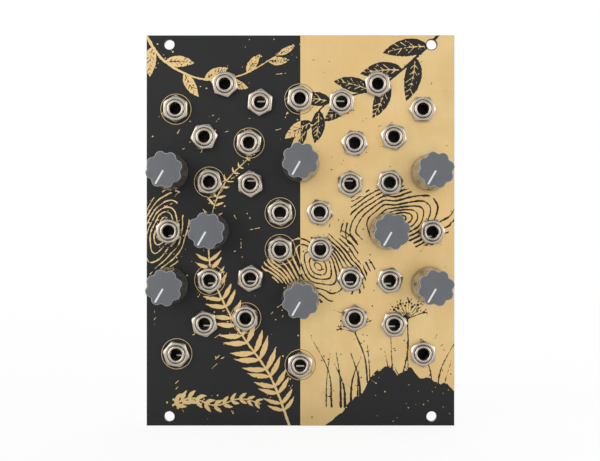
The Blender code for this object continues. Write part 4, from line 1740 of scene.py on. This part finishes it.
@dataclass
class CircuitBoard:
    """The circuit board, with its chips, capacitors, header and solder joints.

    Attributes:
        width: The board's width.
        height: Its height.
        front: Where its front face lies.
        rear: Where its rear face lies.
        chip: A chip's length, width and height.
        chip_pitch: How far apart a chip's leads are.
        chip_leads: How many leads a side has.
        chip_span: How far the leads reach, from tip to tip.
        can: A capacitor's diameter.
        can_height: Its height.
        header: The header's length, width and height.
        header_wall: Its wall.
        header_floor: Its floor.
        pin_pitch: How far apart its pins are.
        pin: A pin's width.
        pin_length: How far a pin stands up from the floor.
        chip_shares: Where the chips lie, as shares of the board.
        can_shares: Where the capacitors stand.
        header_share: Where the header stands.
        track_width: How wide a copper track is.
        track_height: How far it stands up under the coat.
        via: A via's diameter.
        passive: A small part's length, width and height.
    """

    width: float = 98.9 * MM
    height: float = 109.1 * MM
    front: float = -10.0 * MM
    rear: float = -11.6 * MM
    chip: Triple = (8.7 * MM, 3.9 * MM, 1.7 * MM)
    chip_pitch: float = 1.27 * MM
    chip_leads: int = 7
    chip_span: float = 6.0 * MM
    can: float = 6.3 * MM
    can_height: float = 7.7 * MM
    header: Triple = (20.3 * MM, 8.8 * MM, 8.9 * MM)
    header_wall: float = 1.2 * MM
    header_floor: float = 2.5 * MM
    pin_pitch: float = 2.54 * MM
    pin: float = 0.64 * MM
    pin_length: float = 5.5 * MM
    chip_shares: tuple[Point, ...] = (
        (-0.36, 0.36), (-0.12, 0.36), (0.12, 0.36), (0.36, 0.36), (-0.36, 0.06),
        (-0.12, 0.06), (0.12, 0.06), (0.36, 0.06), (-0.36, -0.20), (0.36, -0.20),
    )
    can_shares: tuple[Point, ...] = ((-0.18, -0.36), (0.18, -0.36))
    header_share: Point = (0.0, -0.36)
    track_width: float = 0.25 * MM
    track_height: float = 0.035 * MM
    via: float = 0.6 * MM
    passive: Triple = (1.6 * MM, 0.8 * MM, 0.45 * MM)

    def place(self, shares: Point) -> Point:
        """Returns a place on the board from its shares of the width and height."""
        return shares[0] * self.width, shares[1] * self.height

    def board_mesh(self) -> Mesh:
        """Returns the bare board, with routed corners."""
        form = bmesh.new()
        x, y, corner = self.width / 2, self.height / 2, 1.0 * MM
        outline = []
        for centre, start in (((x, y), 0), ((-x, y), 90), ((-x, -y), 180), ((x, -y), 270)):
            inner = [at - math.copysign(corner, at) for at in centre]
            outline += arc(inner, corner, start, start + 90, 6)
        extrusion(form, outline, self.rear, self.front)
        return mesh_of("board", form)

    def chip_mesh(self) -> Mesh:
        """Returns a chip's body, with drafted sides and a dimple at its first lead."""
        length, width, height = self.chip
        stand = 0.15 * MM
        body = height - stand
        form = bmesh.new()
        made = bmesh.ops.create_cube(form, size=1, matrix=Matrix.Diagonal((length, width, body, 1)))
        for vertex in made["verts"]:
            if vertex.co.z < 0:
                vertex.co.x *= 0.97
                vertex.co.y *= 0.93
            vertex.co.z += self.rear - stand - body / 2
        rounded(form, form.edges[:], 0.08 * MM)
        radius, face = 0.45 * MM, self.rear - height
        dimple = [(radius, face - 0.5 * MM), (radius, face + 0.08 * MM)]
        tool = turned_mesh("chip_dimple", dimple, 24, closed=False)
        tool.transform(Matrix.Translation((-length / 2 + 1.0 * MM, 0, -width / 2 + 0.95 * MM)))
        return cut(mesh_of("chip", form), tool)

    def lead_mesh(self) -> Mesh:
        """Returns a chip's leads, which bend down to the board on both sides."""
        form = bmesh.new()
        level = self.rear - self.chip[2] * 0.55
        inner, outer = self.chip[1] / 2 - 0.1 * MM, self.chip_span / 2
        foot = self.rear - 0.12 * MM
        for side in (-1, 1):
            path = [
                (side * inner, level),
                (side * (inner + 0.45 * MM), level),
                (side * (inner + 0.62 * MM), level + 0.12 * MM),
                (side * (outer - 0.5 * MM), foot),
                (side * outer, foot),
            ]
            for number in range(self.chip_leads):
                centre = (number - (self.chip_leads - 1) / 2) * self.chip_pitch
                strip(form, path, 0.18 * MM, 0.4 * MM, centre)
        return mesh_of("chip_leads", form)

    def can_mesh(self) -> Mesh:
        """Returns a capacitor's can, with its crimp and its scored top."""
        radius, rear = self.can / 2, self.rear
        top = rear - self.can_height
        edge = 0.5 * MM
        rings = [
            *arc((radius - edge, top + edge), edge, -90, 0, 5),
            (radius, rear - 2.2 * MM),
            (radius - 0.28 * MM, rear - 1.95 * MM),
            (radius - 0.28 * MM, rear - 1.75 * MM),
            (radius, rear - 1.5 * MM),
            (radius, rear - 0.9 * MM),
        ]
        can = turned_mesh("can", rings, 64, closed=False, crease=40)
        for turn in range(2):
            bar = bmesh.new()
            block(bar, (self.can * 0.6, 0.18 * MM, 0.24 * MM), (0, 0, top))
            bar.transform(Matrix.Rotation(turn * math.pi / 2, 4, "Z"))
            can = cut(can, mesh_of("score", bar), 40)
        return can

    def can_base_mesh(self) -> Mesh:
        """Returns the moulded plate that a can stands on, with two cut corners."""
        half, corner = self.can / 2 + 0.15 * MM, 1.1 * MM
        outline = [
            (half, half - corner), (half - corner, half), (-half, half),
            (-half, -half), (half - corner, -half), (half, corner - half),
        ]
        form = bmesh.new()
        extrusion(form, outline, self.rear - 1.1 * MM, self.rear - 0.05 * MM)
        rounded(form, form.edges[:], 0.1 * MM)
        return mesh_of("can_base", form)

    def shroud_mesh(self) -> Mesh:
        """Returns the header's shroud, open to the rear and cut out for the plug's key."""
        length, width, height = self.header
        floor = self.rear - 0.3 * MM
        rim = floor - height
        form = bmesh.new()
        block(form, (length, width, height), (0, 0, (floor + rim) / 2), 0.2 * MM)
        room, over, wall = bmesh.new(), 1.0 * MM, self.header_wall
        inner = (length - 2 * wall, width - 2 * wall, height - self.header_floor + over)
        block(room, inner, (0, 0, floor - self.header_floor - inner[2] / 2))
        shroud = cut(mesh_of("header_shroud", form), mesh_of("header_room", room))
        key, key_depth = bmesh.new(), 5.8 * MM
        notch = (4.5 * MM, wall + 2 * over, key_depth + over)
        block(key, notch, (0, (wall - width) / 2, rim + key_depth / 2 - over / 2))
        return cut(shroud, mesh_of("header_key", key))

    def pin_mesh(self) -> Mesh:
        """Returns the header's pins, with tapered tips."""
        form = bmesh.new()
        floor = self.rear - 0.3 * MM - self.header_floor
        half, tip = self.pin / 2, floor - self.pin_length
        outline = [(half, -half), (half, half), (-half, half), (-half, -half)]
        levels = ((1.0, floor + 1.0 * MM), (1.0, tip + 0.4 * MM), (0.45, tip))
        for column in range(5):
            for row in range(2):
                right, up = (column - 2) * self.pin_pitch, (row - 0.5) * self.pin_pitch
                rows = [
                    [(right + x * share, up + y * share, level) for x, y in outline]
                    for share, level in levels
                ]
                lofted(form, rows)
        return mesh_of("header_pins", form)

    def track_mesh(self) -> Mesh:
        """Returns the copper tracks that fan out from the chips under the coat, each to its own via."""
        chance = np.random.default_rng(3)
        form = bmesh.new()
        low, high = self.rear - self.track_height, self.rear + 0.02 * MM
        rim = arc((0, 0), self.via / 2, 0, 330, 11)
        for centre in map(self.place, self.chip_shares):
            for number in range(self.chip_leads):
                shift = number - (self.chip_leads - 1) / 2
                for side in (-1, 1):
                    right = centre[0] + shift * self.chip_pitch
                    up = centre[1] + side * (self.chip_span / 2 - 0.3 * MM)
                    spread = shift * 0.55 * MM
                    bend = 0.9 * MM + (3 - abs(shift)) * 0.5 * MM
                    far = bend + abs(spread) + chance.uniform(1.2, 7.5) * MM
                    corner = (right + spread, up + side * (bend + abs(spread)))
                    end = (right + spread, up + side * far)
                    path = [(right, up), (right, up + side * bend), corner, end]
                    track(form, path, self.track_width, low, high)
                    extrusion(form, [(end[0] + x, end[1] + z) for x, z in rim], low - 0.01 * MM, high)
        return mesh_of("board_tracks", form)

    def passive_places(self, ends: Points) -> list[Point]:
        """Returns where the small parts lie: in rows beside the chips, clear of the solder joints.

        Args:
            ends: Where the solder joints stand.
        """
        places = []
        for centre in map(self.place, self.chip_shares):
            for side, count in ((-1, 4), (1, 3)):
                for number in range(count):
                    right = centre[0] + (number - (count - 1) / 2) * 2.5 * MM
                    places.append((right, centre[1] + side * (self.chip_span / 2 + 2.4 * MM)))
        clear = 2.0 * MM
        return [
            place for place in places
            if self.free_of_parts(place) and all(math.dist(place, end) > clear for end in ends)
        ]

    def passive_mesh(self, name: str, places: Points, ends: bool) -> Mesh:
        """Returns the bodies or the soldered ends of small parts that stand upright on the board.

        Args:
            name: The mesh's name.
            places: Where the parts lie.
            ends: True for the soldered ends, and False for the bodies.
        """
        length, width, height = self.passive
        level = self.rear - height / 2 - 0.03 * MM
        body = (width * 0.96, length - 0.6 * MM, height * 0.94)
        cap, pad = (width, 0.36 * MM, height), (width * 1.15, 0.5 * MM, 0.12 * MM)
        form = bmesh.new()
        for right, up in places:
            if not ends:
                block(form, body, (right, up, level), 0.03 * MM)
                continue
            for side in (-1, 1):
                block(form, cap, (right, up + side * (length / 2 - 0.18 * MM), level), 0.06 * MM)
                pad_place = (right, up + side * (length / 2 + 0.05 * MM), self.rear - 0.04 * MM)
                block(form, pad, pad_place, 0.03 * MM)
        return mesh_of(name, form)

    def joint_mesh(self, name: str, places: Points) -> Mesh:
        """Returns solder joints, each a fillet round the cut end of a terminal."""
        profile = (
            (0.95, 0.0), (0.9, 0.06), (0.6, 0.28), (0.42, 0.62),
            (0.34, 0.95), (0.30, 1.05), (0.29, 1.5), (0.2, 1.58),
        )
        sides = 14
        angles = math.tau * np.arange(sides) / sides
        points, faces = [], []
        for place in places:
            start = sum(map(len, points))
            for radius, level in profile:
                ring = ring_of(radius * MM, self.rear - level * MM, angles)
                points.append(ring + (place[0], place[1], 0))
            faces += ring_faces(len(profile), sides, False, start)
        return mesh_from(name, np.vstack(points), faces, 50)

    def free_of_parts(self, place: Point) -> bool:
        """Tells whether a solder joint at a place stays clear of the chips, capacitors and header."""
        boxes = [(self.place(at), self.chip[0] / 2, self.chip_span / 2) for at in self.chip_shares]
        boxes += [(self.place(at), self.can / 2, self.can / 2) for at in self.can_shares]
        boxes += [(self.place(self.header_share), self.header[0] / 2, self.header[1] / 2)]
        clear = 1.2 * MM
        return all(
            abs(place[0] - centre[0]) > wide + clear or abs(place[1] - centre[1]) > high + clear
            for centre, wide, high in boxes
        )

    def build(self, jacks: JackSockets, jack_places: Points, knob_places: Points) -> None:
        """Sets the board and everything that is soldered to it.

        Args:
            jacks: The jack sockets, which say how each housing is turned.
            jack_places: Where the jacks stand.
            knob_places: Where the knobs stand.
        """
        board = ["circuit_board"]
        set_piece("board", self.board_mesh(), BOARD_COAT, stands_for=board)
        chip, leads = self.chip_mesh(), self.lead_mesh()
        for number, shares in enumerate(self.chip_shares, 1):
            place = self.place(shares)
            name = f"chip_{number:02d}"
            set_piece(name, chip, CHIP_PLASTIC, centre=place, stands_for=board)
            set_piece(f"{name}_leads", leads, SOLDER, centre=place)
        can, base = self.can_mesh(), self.can_base_mesh()
        for number, shares in enumerate(self.can_shares, 1):
            place = self.place(shares)
            name = f"capacitor_{number}"
            set_piece(f"{name}_can", can, CAN_METAL, centre=place, stands_for=board)
            set_piece(f"{name}_base", base, CHIP_PLASTIC, centre=place)
        place = self.place(self.header_share)
        header = (
            ("header_shroud", self.shroud_mesh(), HEADER_PLASTIC, "header_plastic"),
            ("header_pins", self.pin_mesh(), PIN_GOLD, "solder"),
        )
        for name, mesh, finish, slot in header:
            set_piece(name, mesh, finish, centre=place, stands_for=["power_header"])
        ends = []
        for number, place in enumerate(jack_places, 1):
            turn = Matrix.Rotation(jacks.long_side(number).value * math.pi / 2, 2)
            for terminal in ((0.0, 4.9 * MM), (0.0, 1.6 * MM), (0.0, -3.3 * MM)):
                ends.append(tuple(Vector(place) + turn @ Vector(terminal)))
        pot_ends = [
            (place[0] + x * MM, place[1] + z * MM)
            for place in knob_places
            for x, z in ((-2.5, -5.0), (0, -5.0), (2.5, -5.0), (-4.7, 0), (4.7, 0))
        ]
        for name, places in (("jack_solder_joints", ends), ("pot_solder_joints", pot_ends)):
            free = list(filter(self.free_of_parts, places))
            set_piece(name, self.joint_mesh(name, free), SOLDER)
        set_piece("board_tracks", self.track_mesh(), TRACK_COAT)
        small = self.passive_places([*ends, *pot_ends])
        groups = (
            ("resistor_bodies", small[::2], False, RESISTOR_BODY, "chip_plastic"),
            ("ceramic_bodies", small[1::2], False, CERAMIC_BODY, "chip_plastic"),
            ("passive_ends", small, True, SOLDER, "solder"),
        )
        for name, places, is_end, finish, slot in groups:
            set_piece(name, self.passive_mesh(name, places, is_end), finish)


# The studio


WHITE = (1.0, 1.0, 1.0, 1.0)


@dataclass(frozen=True)
class SoftBox:
    """A soft box that faces the module.

    Attributes:
        name: The lamp's name.
        place: Where it hangs.
        size: Its width and height.
        power: Its power in watts.
    """

    name: str
    place: Triple
    size: Point
    power: float

    def hang(self) -> None:
        """Adds the lamp to the scene."""
        data = bpy.data.lights.new(self.name, "AREA")
        data.shape = "RECTANGLE"
        data.size, data.size_y = self.size
        data.energy = self.power
        lamp = placed(self.name, data)
        lamp.location = self.place
        lamp.rotation_euler = Vector(self.place).to_track_quat("Z", "Y").to_euler()


@dataclass
class Studio:
    """A pale floor, soft light from both sides and above, a white surround and the camera.

    Attributes:
        distance: How far the camera stands from the panel's face.
        aside: How far the camera stands to the right of the panel's centre.
        lens: The lens, in millimetres for a frame as wide as the sensor.
        sensor: The sensor's width in millimetres.
        face: Where the panel's face lies along Y.
        dim: The surround's strength as a lamp.
        metal_fall: How steeply metal looks up or down where the surround starts and ends to darken,
            and its strength at those two.
        reach: How far the floor reaches to each side.
        tones: The floor's colour and that of its clouds.
        shade_fade: How far from the module its shadow starts and ends to fade, and the share of plain
            white that the eye sees at those two.
        mirrored: The share of plain white that metal sees in the floor.
        glazed: The share that is seen through glass.
        near_shade_fall: Where along Y the floor starts and ends to darken in metal, a painted shade
            near the module, and its strength there.
        boxes: The lamps.
    """

    distance: float = 356 * MM
    aside: float = -0.16 * MM
    lens: float = 64.86
    sensor: float = 36.0
    face: float = -1.6 * MM
    dim: float = 0.42
    metal_fall: tuple[float, ...] = (0.30, 0.85, 0.88, 0.30)
    reach: float = 3.0
    tones: tuple[Colour, Colour] = ((0.86, 0.86, 0.85), (0.83, 0.83, 0.83))
    shade_fade: tuple[float, ...] = (0.12, 0.7, 0.9, 1.0)
    mirrored: float = 0.6
    glazed: float = 0.9
    near_shade_fall: tuple[float, ...] = (-0.11, -0.02, 0.86, 0.5)
    boxes: tuple[SoftBox, ...] = (
        SoftBox("left_box", (-0.60, -0.48, 0.22), (0.7, 0.9), 3.7),
        SoftBox("right_box", (0.64, -0.44, 0.06), (0.7, 0.9), 2.6),
        SoftBox("top_box", (0.0, 0.12, 0.85), (0.8, 0.5), 2.2),
        SoftBox("rear_box", (0.2, 0.75, 0.4), (0.7, 0.6), 3.2),
    )

    def camera(self) -> None:
        """Sets the camera straight in front of the panel."""
        data = bpy.data.cameras.new("camera")
        data.lens = self.lens
        data.sensor_width = self.sensor
        data.clip_start = 0.01
        camera = placed("camera", data)
        camera.location = (self.aside, self.face - self.distance, 0)
        camera.rotation_euler = (math.pi / 2, 0, 0)
        bpy.context.scene.camera = camera

    def floor(self, level: float) -> None:
        """Lays the floor that the panel's lower edge stands on.

        Args:
            level: Its height.
        """
        mesh = bpy.data.meshes.new("floor")
        ways = ((-1, -1), (1, -1), (1, 1), (-1, 1))
        corners = [(x * self.reach, y * self.reach, level) for x, y in ways]
        mesh.from_pydata(corners, [], [(0, 1, 2, 3)])
        graph = Graph("floor_white")
        inputs = graph.shader.inputs
        graph.put(graph.mix(graph.noise(0.3, 2), *self.tones), inputs["Base Color"])
        inputs["Roughness"].default_value = 0.8
        rays = graph.add("ShaderNodeLightPath").outputs
        eye, metal, glass = (rays[f"Is {kind} Ray"] for kind in ("Camera", "Glossy", "Transmission"))
        right, back, _ = graph.parts()
        fade = graph.span(graph.length(right, back), *self.shade_fade)
        share = graph.maths("MULTIPLY", eye, fade)
        for ray, most in ((metal, self.mirrored), (glass, self.glazed)):
            share = graph.maths("MAXIMUM", share, graph.maths("MULTIPLY", ray, most))
        white = graph.add("ShaderNodeEmission")
        clear = graph.maths("MAXIMUM", eye, glass)
        # Painted shade: in metal the floor is darker near the module and behind it.
        light = graph.maths("MAXIMUM", clear, graph.span(back, *self.near_shade_fall))
        graph.put(light, white.inputs["Strength"])
        mixed = graph.add("ShaderNodeMixShader")
        graph.put(share, mixed.inputs[0])
        graph.put(graph.shader.outputs[0], mixed.inputs[1])
        graph.put(white.outputs[0], mixed.inputs[2])
        graph.put(mixed.outputs[0], graph.tree.nodes["Material Output"].inputs["Surface"])
        mesh.materials.append(graph.material)
        floor = placed("floor", mesh)
        floor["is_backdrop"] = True

    def surround(self) -> None:
        """Makes the world white to the eye and in metal, and a dim grey as a lamp."""
        world = bpy.data.worlds.new("surround")
        world.use_nodes = True
        bpy.context.scene.world = world
        nodes, links = world.node_tree.nodes, world.node_tree.links
        path = nodes.new("ShaderNodeLightPath")
        lamp = nodes["Background"]
        white, metal = (nodes.new("ShaderNodeBackground") for _ in range(2))
        for shader in (lamp, white, metal):
            shader.inputs["Color"].default_value = WHITE
        lamp.inputs["Strength"].default_value = self.dim
        way = nodes.new("ShaderNodeSeparateXYZ")
        links.new(nodes.new("ShaderNodeTexCoord").outputs["Generated"], way.inputs[0])
        steep = nodes.new("ShaderNodeMath")
        steep.operation = "ABSOLUTE"
        links.new(way.outputs["Z"], steep.inputs[0])
        fall = nodes.new("ShaderNodeMapRange")
        links.new(steep.outputs[0], fall.inputs[0])
        for socket, value in zip(fall.inputs[1:], self.metal_fall):
            socket.default_value = value
        links.new(fall.outputs[0], metal.inputs["Strength"])
        last = lamp
        for kind, shader in (("Glossy", metal), ("Transmission", white), ("Camera", white)):
            mixed = nodes.new("ShaderNodeMixShader")
            links.new(path.outputs[f"Is {kind} Ray"], mixed.inputs[0])
            links.new(last.outputs[0], mixed.inputs[1])
            links.new(shader.outputs[0], mixed.inputs[2])
            last = mixed
        links.new(last.outputs[0], nodes["World Output"].inputs["Surface"])

    def build(self, level: float) -> None:
        """Sets up the floor, the light and the camera.

        Args:
            level: The floor's height.
        """
        self.floor(level)
        self.surround()
        for box in self.boxes:
            box.hang()
        self.camera()
        bpy.context.scene.view_settings.view_transform = "Standard"


def main() -> None:
    """Dresses the frame and sets up the studio."""
    logging.basicConfig(level=logging.INFO, format="%(message)s")
    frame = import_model()
    cad_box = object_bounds()
    jacks = JackSockets()
    jack_places = jacks.places(frame["record"])
    knob_places = [(joint["pos_m"][0], joint["pos_m"][2]) for joint in frame["joints"]]
    PanelFace().build(frame["nodes"]["front_panel"], jack_places, knob_places)
    jacks.build(jack_places)
    Controls().build(frame["nodes"], knob_places)
    CircuitBoard().build(jacks, jack_places, knob_places)
    Studio().build(cad_box[0][2])


if __name__ == "__main__":
    main()
